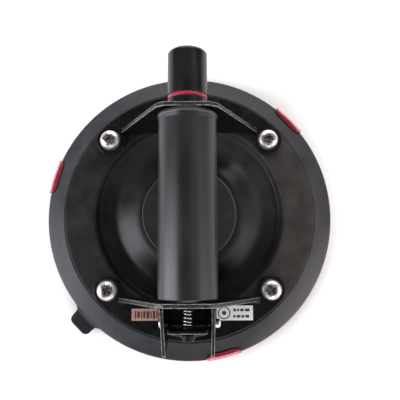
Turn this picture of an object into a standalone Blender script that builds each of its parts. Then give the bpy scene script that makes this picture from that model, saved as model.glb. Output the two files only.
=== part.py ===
"""Hand-held vacuum lifter with a pump in its handle, modelled as separate parts in one frame.

Metres, +Z up. The origin is on the pad's axis, at the underside of the pad cover.
The pump and its grip lie along Y: the plunger comes out towards +Y, the release lever is at -Y.
Every outline is a list of (radius, height) or in-plane points, worked out from the sizes below.
"""

import math

import bmesh
import bpy
from mathutils import Matrix, Vector

# Driving dimensions
GAP = 0.0003  # running and seating clearance between touching parts
SHEET = 0.0026  # thickness of the bracket sheet
BIG_ROUND = 48  # segments of the pad and the parts that follow its edge
ROUND = 24  # segments of the pump and handle
SMALL_ROUND = 16  # segments of pins and screws

# Pad, from the sealing lip up
PAD_RADIUS = 0.1006
LIP_Z = 0.0044
UNDERSIDE_Z = 0.0056
RIM_TOP_Z = 0.0132
LAND_Z = 0.0140  # flat ring that the brackets stand on
LAND_OUTER = 0.0871
LAND_INNER = 0.0660
GROOVE_Z = 0.0084
HUB_RADIUS = 0.0329
HUB_TOP_Z = 0.0167
CEILING_Z = 0.0105  # vacuum chamber's ceiling at the middle
PULL_TAB_ANGLE = 225.0
PULL_TAB_REACH = 0.1104
PULL_TAB_HALF_WIDTH = 0.0082

# Pad cover and its clips
COVER_RADIUS = 0.1018
COVER_WALL_INNER = 0.1010
COVER_FLOOR = 0.0018
COVER_WALL_Z = 0.0038
SUPPORT_OUTER = 0.0650
SUPPORT_INNER = 0.0622
CLIP_ANGLES = (43.7, 163.7, 283.7)
CLIP_HALF_ANGLE = 6.9
CLIP_TOP_Z = 0.0122

# Brackets and their screws
SCREW_X = 0.0557
SCREW_Y = 0.0523
SCREW_RADIUS = 0.0030
SCREW_HEAD_RADIUS = 0.0067
FLANGE_RADIUS = 0.0865
FLANGE_Z = LAND_Z + GAP
FLANGE_TOP_Z = FLANGE_Z + SHEET
PLATE_INNER_Y = 0.0570
PLATE_OUTER_Y = PLATE_INNER_Y + SHEET
PLATE_TOP_Z = 0.0809
PLATE_TOP_HALF = 0.0168
PLATE_FOOT_HALF = 0.0486

# Pump and grip, along Y at this height
AXIS_Z = 0.0640
GRIP_RADIUS = 0.0178
GRIP_BORE = 0.0152
GRIP_HALF_LENGTH = 0.0564
BARREL_RADIUS = 0.0146
BARREL_BORE = 0.0132
BARREL_FRONT_Y = -0.0525
BARREL_REAR_Y = 0.0490
CAP_FACE_Y = -0.0437  # inner end of the front cap
PLUNGER_RADIUS = 0.0123
PLUNGER_END_Y = 0.0970
PLUNGER_INNER_Y = 0.0148
PISTON_FRONT_Y = 0.0060
INDICATOR_Y = 0.0666
PORT_Y = -0.0380
HOSE_BEND = 0.0160
HOSE_Z = 0.0220
HOSE_OUTER = 0.0040
HOSE_BORE = 0.0029

# Release lever and its valve stem
CHEEK_OUTER_X = 0.0161
CHEEK_SHEET = 0.0021
PIVOT_Y = -0.0704
PIVOT_Z = 0.0540
PIN_RADIUS = 0.0016
PIN_LEFT_X = -0.0162
PIN_RIGHT_X = 0.0182
LEVER_HALF_WIDTH = 0.0117
LEVER_WEB_Y = (-0.0750, -0.0732)
LEVER_TOP_Z = 0.0695
LEVER_SHEET = 0.0018
LEVER_EAR_RADIUS = 0.0034
STEM_RADIUS = 0.0015
COLLAR_RADIUS = 0.0034
COLLAR_Y = (-0.0724, -0.0712)
STEM_NUT_Y = (-0.0800, -0.0758)


def clear_scene():
    """Remove every object, so that the script starts from nothing."""
    for thing in list(bpy.data.objects):
        bpy.data.objects.remove(thing)


def paint(name, colour, roughness, metallic=0.0):
    """A Principled material with a part's own colour."""
    material = bpy.data.materials.new(name)
    material.use_nodes = True
    shader = material.node_tree.nodes["Principled BSDF"]
    shader.inputs["Base Color"].default_value = (*colour, 1.0)
    shader.inputs["Roughness"].default_value = roughness
    shader.inputs["Metallic"].default_value = metallic
    return material


def arc(centre, radius, start_deg, end_deg, steps):
    """Points along a circular arc, both ends included."""
    points = []
    for k in range(steps + 1):
        angle = math.radians(start_deg + (end_deg - start_deg) * k / steps)
        x = centre[0] + radius * math.cos(angle)
        y = centre[1] + radius * math.sin(angle)
        points.append((x, y))
    return points


def mirrored(points):
    """The same points at the other side of X = 0, in reverse order."""
    return [(-a, b) for a, b in reversed(points)]


def finished(name, bm, material, place=(0, 0, 0)):
    """Turn a closed bmesh into a named, smooth-shaded object with its normals outward."""
    bmesh.ops.recalc_face_normals(bm, faces=bm.faces)
    mesh = bpy.data.meshes.new(name)
    bm.to_mesh(mesh)
    bm.free()
    mesh.materials.append(material)
    mesh.shade_smooth()
    mesh.set_sharp_from_angle(angle=math.radians(32))
    thing = bpy.data.objects.new(name, mesh)
    thing.location = place
    bpy.context.scene.collection.objects.link(thing)
    return thing


def turn_to_axis(bm, axis):
    """Lay a body that was made along +Z along +Y or +X."""
    if axis == "Y":
        bmesh.ops.rotate(bm, verts=bm.verts, matrix=Matrix.Rotation(math.radians(-90), 3, "X"))
    if axis == "X":
        bmesh.ops.rotate(bm, verts=bm.verts, matrix=Matrix.Rotation(math.radians(90), 3, "Y"))


def turned(name, profile, material, axis="Z", segments=ROUND, place=(0, 0, 0)):
    """Revolve a closed outline of (radius, height) points. Radius 0 gives a single point."""
    bm = bmesh.new()
    rings = []
    for radius, height in profile:
        if radius == 0:
            rings.append([bm.verts.new((0, 0, height))] * segments)
            continue
        circle = arc((0, 0), radius, 0, 360 - 360 / segments, segments - 1)
        rings.append([bm.verts.new((x, y, height)) for x, y in circle])
    for ring, following in zip(rings, rings[1:] + rings[:1]):
        for k in range(segments):
            after = (k + 1) % segments
            corners = [ring[k], ring[after], following[after], following[k]]
            corners = list(dict.fromkeys(corners))
            if len(corners) > 2:
                bm.faces.new(corners)
    turn_to_axis(bm, axis)
    return finished(name, bm, material, place)


def swept_arc(name, profile, start_deg, end_deg, steps, material):
    """Sweep a closed (radius, height) outline part of the way round Z, with flat ends."""
    bm = bmesh.new()
    sections = []
    for k in range(steps + 1):
        angle = math.radians(start_deg + (end_deg - start_deg) * k / steps)
        points = [(r * math.cos(angle), r * math.sin(angle), z) for r, z in profile]
        sections.append([bm.verts.new(point) for point in points])
    count = len(profile)
    for section, following in zip(sections, sections[1:]):
        for k in range(count):
            after = (k + 1) % count
            bm.faces.new([section[k], section[after], following[after], following[k]])
    bm.faces.new(sections[0])
    bm.faces.new(sections[-1])
    return finished(name, bm, material)


def prism(name, outline, low, high, plane, material, place=(0, 0, 0)):
    """Extrude a closed outline across its plane, XY, XZ or YZ, between two levels."""
    spots = {
        "XY": lambda a, b, level: (a, b, level),
        "XZ": lambda a, b, level: (a, level, b),
        "YZ": lambda a, b, level: (level, a, b),
    }
    spot = spots[plane]
    bm = bmesh.new()
    lower = [bm.verts.new(spot(a, b, low)) for a, b in outline]
    upper = [bm.verts.new(spot(a, b, high)) for a, b in outline]
    bm.faces.new(lower)
    bm.faces.new(upper)
    for k in range(len(outline)):
        after = (k + 1) % len(outline)
        bm.faces.new([lower[k], lower[after], upper[after], upper[k]])
    return finished(name, bm, material, place)


def box_outline(a_low, a_high, b_low, b_high):
    """The four corners of a rectangle, in order."""
    return [(a_low, b_low), (a_high, b_low), (a_high, b_high), (a_low, b_high)]


def hexagon(across_flats):
    """The corners of a hexagon about the origin."""
    radius = across_flats / math.sqrt(3)
    return arc((0, 0), radius, 0, 300, 5)


def boolean(target, tool, operation):
    """Join a hidden helper body to the target, or cut it away."""
    tool.hide_render = True
    tool.display_type = "WIRE"
    modifier = target.modifiers.new(tool.name, "BOOLEAN")
    modifier.operation = operation
    modifier.object = tool
    modifier.solver = "EXACT"


def drill(target, radius, low, high, place, material, axis="Z", segments=SMALL_ROUND):
    """Cut a round hole along an axis, from one level to another, counted from a place."""
    name = f"drill_{target.name}_{len(target.modifiers)}"
    profile = [(0, low), (radius, low), (radius, high), (0, high)]
    tool = turned(name, profile, material, axis, segments, place)
    boolean(target, tool, "DIFFERENCE")


def evaluated_mesh(thing):
    """The mesh of an object with its modifiers, as a new mesh."""
    graph = bpy.context.evaluated_depsgraph_get()
    return bpy.data.meshes.new_from_object(thing.evaluated_get(graph))


def coil(name, mean_radius, wire_radius, length, turns, place, material):
    """A helical spring along +Y from a place, as a curve with closed ends."""
    curve = bpy.data.curves.new(name, "CURVE")
    curve.dimensions = "3D"
    curve.resolution_u = 1
    curve.bevel_depth = wire_radius
    curve.bevel_resolution = 1
    curve.use_fill_caps = True
    steps = int(turns * 10)
    spline = curve.splines.new("POLY")
    spline.points.add(steps)
    for k, point in enumerate(spline.points):
        angle = 2 * math.pi * turns * k / steps
        x = mean_radius * math.cos(angle)
        z = mean_radius * math.sin(angle)
        point.co = (x, length * k / steps, z, 1)
    curve.materials.append(material)
    thing = bpy.data.objects.new(name, curve)
    thing.location = place
    bpy.context.scene.collection.objects.link(thing)
    return thing


def hollow_hose(name, path, outer, bore, material, sides=12):
    """A hose with an open bore along a path that lies in the YZ plane."""
    bm = bmesh.new()
    across = Vector((1, 0, 0))
    sections = []
    for k, point in enumerate(path):
        before = path[max(k - 1, 0)]
        after = path[min(k + 1, len(path) - 1)]
        along = (Vector(after) - Vector(before)).normalized()
        upward = along.cross(across)
        section = []
        for radius in (outer, bore):
            circle = arc((0, 0), radius, 0, 360 - 360 / sides, sides - 1)
            section.append([bm.verts.new(Vector(point) + across * a + upward * b) for a, b in circle])
        sections.append(section)
    for section, following in zip(sections, sections[1:]):
        for layer in (0, 1):
            for k in range(sides):
                after = (k + 1) % sides
                near, far = section[layer], following[layer]
                bm.faces.new([near[k], near[after], far[after], far[k]])
    for outside, inside in (sections[0], sections[-1]):
        for k in range(sides):
            after = (k + 1) % sides
            bm.faces.new([outside[k], outside[after], inside[after], inside[k]])
    return finished(name, bm, material)


def bent_strip(name, stations, thickness, material, place):
    """A strip bent along (y, z, half width) stations in the YZ plane, measured from a place."""
    bm = bmesh.new()
    sections = []
    for k, (y, z, half) in enumerate(stations):
        before = stations[max(k - 1, 0)]
        after = stations[min(k + 1, len(stations) - 1)]
        along = Vector((after[0] - before[0], after[1] - before[1])).normalized()
        outward = Vector((along.y, -along.x)) * thickness / 2
        section = []
        for side, reach in ((1, half), (1, -half), (-1, -half), (-1, half)):
            spot = Vector((y, z)) + outward * side
            section.append(bm.verts.new((reach, spot.x, spot.y)))
        sections.append(section)
    for section, following in zip(sections, sections[1:]):
        for k in range(4):
            after = (k + 1) % 4
            bm.faces.new([section[k], section[after], following[after], following[k]])
    bm.faces.new(sections[0])
    bm.faces.new(sections[-1])
    return finished(name, bm, material, place)


def make_pad(rubber):
    """Rubber pad: sealing lip, sloping rim, flat land, deep groove and a domed middle, with a tab."""
    profile = [
        (0.0049, CEILING_Z),
        (0.0340, CEILING_Z),
        (0.0470, UNDERSIDE_Z),
        (0.0662, UNDERSIDE_Z),
        (0.0662, 0.0111),
        (0.0863, 0.0111),
        (0.0863, 0.0070),
        (0.0905, 0.0056),
        (0.0925, LIP_Z),
        (0.0986, LIP_Z),
        (PAD_RADIUS, LIP_Z + 0.0013),
        (PAD_RADIUS, 0.0076),
        (0.0998, 0.0088),
        (LAND_OUTER + 0.0015, RIM_TOP_Z),
        (LAND_OUTER + 0.0009, 0.0129),
        (LAND_OUTER + 0.0002, 0.0129),
        (LAND_OUTER, LAND_Z),
        (LAND_INNER, LAND_Z),
        (0.0646, 0.0134),
        (0.0634, 0.0094),
        (0.0622, GROOVE_Z),
        (0.0515, GROOVE_Z),
        (0.0480, 0.0096),
        (0.0450, 0.0118),
        (0.0420, 0.0138),
        (0.0385, 0.0153),
        (HUB_RADIUS + 0.0004, 0.0161),
        (HUB_RADIUS + 0.0004, 0.0146),
        (0.0049, 0.0146),
    ]
    pad = turned("suction_pad", profile, rubber, segments=BIG_ROUND)
    root = 0.0960
    corner = 0.0040
    half = PULL_TAB_HALF_WIDTH
    tip = PULL_TAB_REACH
    side = [(root, half + 0.0045), (PAD_RADIUS - 0.0003, half + 0.0032), (0.1018, half + 0.0006)]
    side += arc((tip - corner, half - corner), corner, 80, 0, 4)
    outline = side + [(a, -b) for a, b in reversed(side)]
    tab = prism("pull_tab", outline, LIP_Z + 0.0013, LIP_Z + 0.0041, "XY", rubber)
    tab.rotation_euler.z = math.radians(PULL_TAB_ANGLE)
    boolean(pad, tab, "UNION")
    for x in (-SCREW_X, SCREW_X):
        for y in (-SCREW_Y, SCREW_Y):
            drill(pad, SCREW_RADIUS + 0.0004, 0, 0.03, (x, y, 0), rubber)
    return pad


def make_backing_ring(steel):
    """Steel ring in the pad's underside that the four bracket screws thread into."""
    profile = [(0.0666, 0.0083), (0.0859, 0.0083), (0.0859, 0.0108), (0.0666, 0.0108)]
    ring = turned("backing_ring", profile, steel, segments=BIG_ROUND)
    for x in (-SCREW_X, SCREW_X):
        for y in (-SCREW_Y, SCREW_Y):
            drill(ring, SCREW_RADIUS + GAP, 0, 0.03, (x, y, 0), steel)


def make_hub(plastic, brass, felt, rubber):
    """Hub disc on the dome, the elbow that brings the air out of the pad, its nut, filter and seal."""
    bottom = 0.0149
    profile = [
        (0.0049, bottom),
        (HUB_RADIUS, bottom),
        (HUB_RADIUS, HUB_TOP_Z - 0.0005),
        (HUB_RADIUS - 0.0005, HUB_TOP_Z),
        (0.0049, HUB_TOP_Z),
    ]
    turned("hub_disc", profile, plastic, segments=BIG_ROUND)
    collar_z = HUB_TOP_Z + GAP
    bore = 0.0014
    bore_top = HOSE_Z + 0.0020
    shank = [
        (0, bore_top),
        (bore, bore_top),
        (bore, 0.0096),
        (0.0032, 0.0096),
        (0.0032, 0.0066),
        (0.0041, 0.0066),
        (0.0045, 0.0070),
        (0.0045, collar_z),
        (0.0070, collar_z),
        (0.0070, collar_z + 0.0021),
        (0.0046, collar_z + 0.0026),
        (0.0046, HOSE_Z + 0.0035),
        (0.0038, HOSE_Z + 0.0043),
        (0, HOSE_Z + 0.0043),
    ]
    elbow = turned("hub_elbow", shank, brass, segments=16)
    barb = [(0, -0.0180), (0.0022, -0.0180), (0.0026, -0.0172), (0.0026, -0.0028), (0, -0.0028)]
    branch = turned("elbow_branch", barb, brass, "Y", 12, (0, 0, HOSE_Z))
    boolean(elbow, branch, "UNION")
    drill(elbow, 0.0011, -0.020, 0, (0, 0, HOSE_Z), brass, "Y", 10)
    nut = prism("hub_nut", hexagon(0.0130), CEILING_Z - 0.0031, CEILING_Z - GAP, "XY", brass)
    drill(nut, 0.0048, 0, 0.03, (0, 0, 0), brass)
    turned("air_filter", [(0, 0.0070), (0.0029, 0.0070), (0.0029, 0.0092), (0, 0.0092)], felt, segments=16)


def make_cover(red):
    """Stiff cover that keeps the sealing lip clean: floor, rim, support ring and three clips."""
    edge = 0.0004
    floor = [
        (0, 0),
        (COVER_RADIUS - edge, 0),
        (COVER_RADIUS, edge),
        (COVER_RADIUS, COVER_FLOOR),
        (0, COVER_FLOOR),
    ]
    turned("pad_cover", floor, red, segments=BIG_ROUND)
    foot = COVER_FLOOR + GAP
    rim = box_outline(COVER_WALL_INNER, COVER_RADIUS, foot, COVER_WALL_Z)
    turned("cover_rim", rim, red, segments=BIG_ROUND)
    support = box_outline(SUPPORT_INNER, SUPPORT_OUTER, foot, UNDERSIDE_Z - GAP)
    turned("cover_support", support, red, segments=BIG_ROUND)
    outer = COVER_RADIUS
    inner = COVER_WALL_INNER
    hook = 0.0976
    clip = [
        (inner, COVER_WALL_Z + GAP),
        (outer, COVER_WALL_Z + GAP),
        (outer, CLIP_TOP_Z - 0.0012),
        (outer - 0.0009, CLIP_TOP_Z),
        (hook + 0.0004, CLIP_TOP_Z),
        (hook, CLIP_TOP_Z - 0.0006),
        (hook, CLIP_TOP_Z - 0.0019),
        (inner, CLIP_TOP_Z - 0.0019),
    ]
    for number, angle in enumerate(CLIP_ANGLES, start=1):
        low, high = angle - CLIP_HALF_ANGLE, angle + CLIP_HALF_ANGLE
        swept_arc(f"cover_clip_{number}", clip, low, high, 6, red)


def flange_outline():
    """Plan of a bracket's base: an arc along the land's edge, round feet and a straight back."""
    foot_angle = math.degrees(math.atan2(SCREW_Y, SCREW_X))
    foot_radius = FLANGE_RADIUS - math.hypot(SCREW_X, SCREW_Y)
    left_foot = arc((-SCREW_X, SCREW_Y), foot_radius, 180 - foot_angle, 340, 12)
    edge = arc((0, 0), FLANGE_RADIUS, foot_angle, 180 - foot_angle, 18)
    back = [(-0.0445, PLATE_INNER_Y), (0.0445, PLATE_INNER_Y)]
    return edge + left_foot[1:] + back + mirrored(left_foot)[:-1]


def plate_outline():
    """Face of a bracket's upright plate: wide at the foot, narrow and rounded at the top."""
    corner = 0.0050
    top = arc((PLATE_TOP_HALF - corner, PLATE_TOP_Z - corner), corner, 28, 90, 4)
    right = [(PLATE_FOOT_HALF, FLANGE_Z + 0.001), (PLATE_FOOT_HALF, 0.0195)] + top
    return right + mirrored(right)


def make_bracket(name, direction, hole_radius, paint_black):
    """Pressed bracket: an upright plate and a base flange; direction is +1 at the rear, -1 in front."""
    base = [(x, direction * y) for x, y in flange_outline()]
    bracket = prism(name, base, FLANGE_Z, FLANGE_TOP_Z, "XY", paint_black)
    faces = sorted((direction * PLATE_INNER_Y, direction * PLATE_OUTER_Y))
    plate = prism(f"{name}_plate", plate_outline(), faces[0], faces[1], "XZ", paint_black)
    boolean(bracket, plate, "UNION")
    for x in (-SCREW_X, SCREW_X):
        drill(bracket, SCREW_RADIUS + GAP, 0, 0.03, (x, direction * SCREW_Y, 0), paint_black)
    centre = (0, direction * PLATE_INNER_Y, AXIS_Z)
    drill(bracket, hole_radius, -0.01, 0.01, centre, paint_black, "Y", ROUND)


def make_cheeks(paint_black):
    """Two side cheeks on the front bracket that guard the release lever and carry its pin."""
    back = -(PLATE_OUTER_Y + GAP)
    foot = FLANGE_TOP_Z + GAP
    outline = [(back, foot), (back, 0.0715), (back - 0.0020, 0.0722)]
    outline += [(-0.0905, 0.0492), (-0.0921, 0.0470), (-0.0925, 0.0440), (-0.0921, 0.0405)]
    outline += [(-0.0840, 0.0195), (-0.0835, foot)]
    inner = CHEEK_OUTER_X - CHEEK_SHEET
    for name, low, high in (
        ("left_cheek", -CHEEK_OUTER_X, -inner),
        ("right_cheek", inner, CHEEK_OUTER_X),
    ):
        cheek = prism(name, outline, low, high, "YZ", paint_black)
        drill(cheek, PIN_RADIUS + GAP, -0.03, 0.03, (0, PIVOT_Y, PIVOT_Z), paint_black, "X", 16)


def make_fasteners(steel):
    """Four cross-head pan screws, each on a plain washer."""
    washer_z = FLANGE_TOP_Z + GAP
    washer_top = washer_z + 0.0014
    head_z = washer_top + GAP
    ring = [
        (SCREW_RADIUS + GAP, washer_z),
        (0.0075, washer_z),
        (0.0075, washer_top),
        (SCREW_RADIUS + GAP, washer_top),
    ]
    shape = [
        (0, 0.0062),
        (SCREW_RADIUS - 0.0006, 0.0062),
        (SCREW_RADIUS, 0.0068),
        (SCREW_RADIUS, head_z),
        (SCREW_HEAD_RADIUS, head_z),
        (SCREW_HEAD_RADIUS, head_z + 0.0016),
        (SCREW_HEAD_RADIUS - 0.0008, head_z + 0.0031),
        (SCREW_HEAD_RADIUS - 0.0024, head_z + 0.0041),
        (0, head_z + 0.0045),
    ]
    arm, half = 0.0029, 0.00065
    quarter = [(arm, -half), (arm, half), (half, half)]
    cross = []
    for k in range(4):
        turn = Matrix.Rotation(math.radians(90 * k), 2)
        cross += [tuple(turn @ Vector(point)) for point in quarter]
    pattern = turned("screw_1", shape, steel, segments=SMALL_ROUND)
    recess = prism("cross_recess", cross, head_z + 0.0020, head_z + 0.0060, "XY", steel)
    boolean(pattern, recess, "DIFFERENCE")
    screw_mesh = evaluated_mesh(pattern)
    bpy.data.objects.remove(pattern)
    bpy.data.objects.remove(recess)
    corners = [(-SCREW_X, SCREW_Y), (SCREW_X, SCREW_Y), (SCREW_X, -SCREW_Y), (-SCREW_X, -SCREW_Y)]
    for number, (x, y) in enumerate(corners, start=1):
        screw = bpy.data.objects.new(f"screw_{number}", screw_mesh)
        screw.location = (x, y, 0)
        bpy.context.scene.collection.objects.link(screw)
        turned(f"washer_{number}", ring, steel, segments=SMALL_ROUND, place=(x, y, 0))


def make_grip(plastic):
    """Handle grip: a tube round the pump barrel, with a flared lip at each end."""
    end = GRIP_HALF_LENGTH
    lip = GRIP_RADIUS + 0.0007
    profile = [
        (GRIP_BORE, -end),
        (GRIP_RADIUS, -end),
        (lip, -end + 0.0006),
        (lip, -end + 0.0016),
        (GRIP_RADIUS, -end + 0.0032),
        (GRIP_RADIUS, end - 0.0036),
        (lip, end - 0.0018),
        (lip, end - 0.0006),
        (GRIP_RADIUS, end),
        (GRIP_BORE, end),
    ]
    grip = turned("handle_grip", profile, plastic, "Y", place=(0, 0, AXIS_Z))
    drill(grip, 0.0035, -0.025, 0, (0, PORT_Y, AXIS_Z), plastic, segments=16)


def make_pump_body(aluminium, plastic, black_metal, rubber):
    """Fixed parts of the pump: barrel, front cap with its neck and ring nut, rear bush and seals."""
    axis = (0, 0, AXIS_Z)
    profile = [
        (BARREL_BORE, BARREL_FRONT_Y),
        (BARREL_RADIUS, BARREL_FRONT_Y),
        (BARREL_RADIUS, BARREL_REAR_Y),
        (BARREL_BORE, BARREL_REAR_Y),
    ]
    barrel = turned("pump_barrel", profile, aluminium, "Y", place=axis)
    drill(barrel, 0.0033, -0.025, 0, (0, PORT_Y, AXIS_Z), aluminium, segments=16)
    flange = GRIP_BORE - GAP
    spigot = 0.0128
    groove = 0.0112
    neck = 0.0065
    bore = STEM_RADIUS + 0.0005
    shoulder_y = BARREL_FRONT_Y - GAP
    plate_side_y = -PLATE_INNER_Y + 0.0004
    neck_end_y = -0.0610
    cap = [
        (bore, neck_end_y),
        (neck, neck_end_y),
        (neck, plate_side_y),
        (flange, plate_side_y),
        (flange, shoulder_y),
        (spigot, shoulder_y),
        (spigot, -0.0502),
        (groove, -0.0502),
        (groove, -0.0478),
        (spigot, -0.0478),
        (spigot, CAP_FACE_Y),
        (bore, CAP_FACE_Y),
    ]
    turned("front_cap", cap, plastic, "Y", place=axis)
    section = [(0.0123 + a, -0.0490 + b) for a, b in arc((0, 0), 0.00075, 0, 315, 7)]
    turned("cap_o_ring", section, rubber, "Y", place=axis)
    nut_faces = (neck_end_y - 0.0002, -(PLATE_OUTER_Y + GAP))
    nut = prism("cap_ring_nut", hexagon(0.0165), nut_faces[0], nut_faces[1], "XZ", black_metal, axis)
    drill(nut, neck + GAP, -0.07, -0.05, axis, black_metal, "Y", ROUND)
    bush = [(0.0128, 0.0493), (flange, 0.0493), (flange, 0.0547), (0.0128, 0.0547)]
    turned("rear_bush", bush, plastic, "Y", place=axis)
    wiper = [
        (0.0131, 0.0550),
        (0.0145, 0.0550),
        (0.0145, 0.0566),
        (PLUNGER_RADIUS + 0.0004, 0.0566),
        (PLUNGER_RADIUS + 0.0004, 0.0562),
    ]
    turned("wiper_seal", wiper, rubber, "Y", place=axis)


def make_plunger(plastic, red, rubber, aluminium):
    """Moving parts of the pump: hollow plunger, indicator ring, piston, its cup seal and its valve."""
    axis = (0, 0, AXIS_Z)
    groove = 0.0112
    half_ring = 0.0014
    outer = PLUNGER_RADIUS
    end = PLUNGER_END_Y
    profile = [
        (0.0098, PLUNGER_INNER_Y),
        (outer, PLUNGER_INNER_Y),
        (outer, INDICATOR_Y - half_ring),
        (groove, INDICATOR_Y - half_ring),
        (groove, INDICATOR_Y + half_ring),
        (outer, INDICATOR_Y + half_ring),
        (outer, end - 0.0024),
        (outer - 0.0005, end - 0.0011),
        (outer - 0.0016, end - 0.0004),
        (outer - 0.0036, end),
        (0, end),
        (0, end - 0.0045),
        (0.0098, end - 0.0045),
    ]
    plunger = turned("plunger", profile, plastic, "Y", place=axis)
    drill(plunger, 0.0012, -0.025, 0, (0, 0.044, AXIS_Z), plastic, segments=10)
    half = half_ring - GAP
    ring = [
        (groove + GAP, INDICATOR_Y - half),
        (outer, INDICATOR_Y - half),
        (outer, INDICATOR_Y + half),
        (groove + GAP, INDICATOR_Y + half),
    ]
    turned("indicator_ring", ring, red, "Y", place=axis)
    body = 0.0128
    front = PISTON_FRONT_Y
    back = front + 0.0085
    piston = [
        (0.0023, front),
        (body, front),
        (body, front + 0.0022),
        (0.0110, front + 0.0022),
        (0.0110, front + 0.0066),
        (body, front + 0.0066),
        (body, back),
        (0.0095, back),
        (0.0095, back + 0.0115),
        (0.0070, back + 0.0115),
        (0.0070, back),
        (0.0023, back),
    ]
    turned("piston", piston, aluminium, "Y", place=axis)
    seal = [
        (0.0113, front + 0.0025),
        (0.0118, front + 0.0025),
        (0.0121, front + 0.0042),
        (0.0125, front + 0.0025),
        (0.0130, front + 0.0025),
        (0.0130, front + 0.0063),
        (0.0113, front + 0.0063),
    ]
    turned("piston_seal", seal, rubber, "Y", place=axis)
    valve = [
        (0, front - 0.0010),
        (0.0018, front - 0.0010),
        (0.0018, back + GAP),
        (0.0055, back + GAP),
        (0.0055, back + 0.0008),
        (0.0020, back + 0.0017),
        (0, back + 0.0017),
    ]
    turned("check_valve", valve, rubber, "Y", 16, axis)


def make_springs(spring_steel):
    """The pump's return spring inside the barrel and the bright release spring on the stem."""
    start = CAP_FACE_Y + 0.0011
    length = PISTON_FRONT_Y - 0.0011 - start
    coil("return_spring", 0.0109, 0.0007, length, 9, (0, start, AXIS_Z), spring_steel)
    first = COLLAR_Y[1] + 0.0008
    coil("release_spring", 0.0027, 0.00045, 0.0088, 4, (0, first, AXIS_Z), spring_steel)


def make_hose(brass, rubber, steel):
    """Port under the barrel, the hose from it down to the hub, and a clip at each of its ends."""
    top = AXIS_Z - BARREL_BORE - 0.0002
    below = AXIS_Z - GRIP_RADIUS - GAP
    profile = [
        (0.0012, 0.0370),
        (0.0022, 0.0370),
        (0.0026, 0.0378),
        (0.0026, below - 0.0022),
        (0.0046, below - 0.0022),
        (0.0046, below),
        (0.0030, below),
        (0.0030, top),
        (0.0012, top),
    ]
    turned("port_fitting", profile, brass, segments=16, place=(0, PORT_Y, 0))
    start_z = below - 0.0022 - GAP
    bend_z = HOSE_Z + HOSE_BEND
    bend = arc((PORT_Y + HOSE_BEND, bend_z), HOSE_BEND, 180, 270, 8)
    route = [(PORT_Y, start_z), (PORT_Y, (start_z + bend_z) / 2)] + bend
    route += [(-0.0145, HOSE_Z), (-0.0074, HOSE_Z)]
    path = [(0, y, z) for y, z in route]
    hollow_hose("air_hose", path, HOSE_OUTER, HOSE_BORE, rubber)
    band = [
        (HOSE_OUTER + GAP, 0),
        (HOSE_OUTER + 0.0011, 0),
        (HOSE_OUTER + 0.0011, 0.0030),
        (HOSE_OUTER + GAP, 0.0030),
    ]
    turned("hose_clip_upper", band, steel, "Z", 16, (0, PORT_Y, start_z - 0.0045))
    turned("hose_clip_lower", band, steel, "Y", 16, (0, -0.0130, HOSE_Z))


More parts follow.
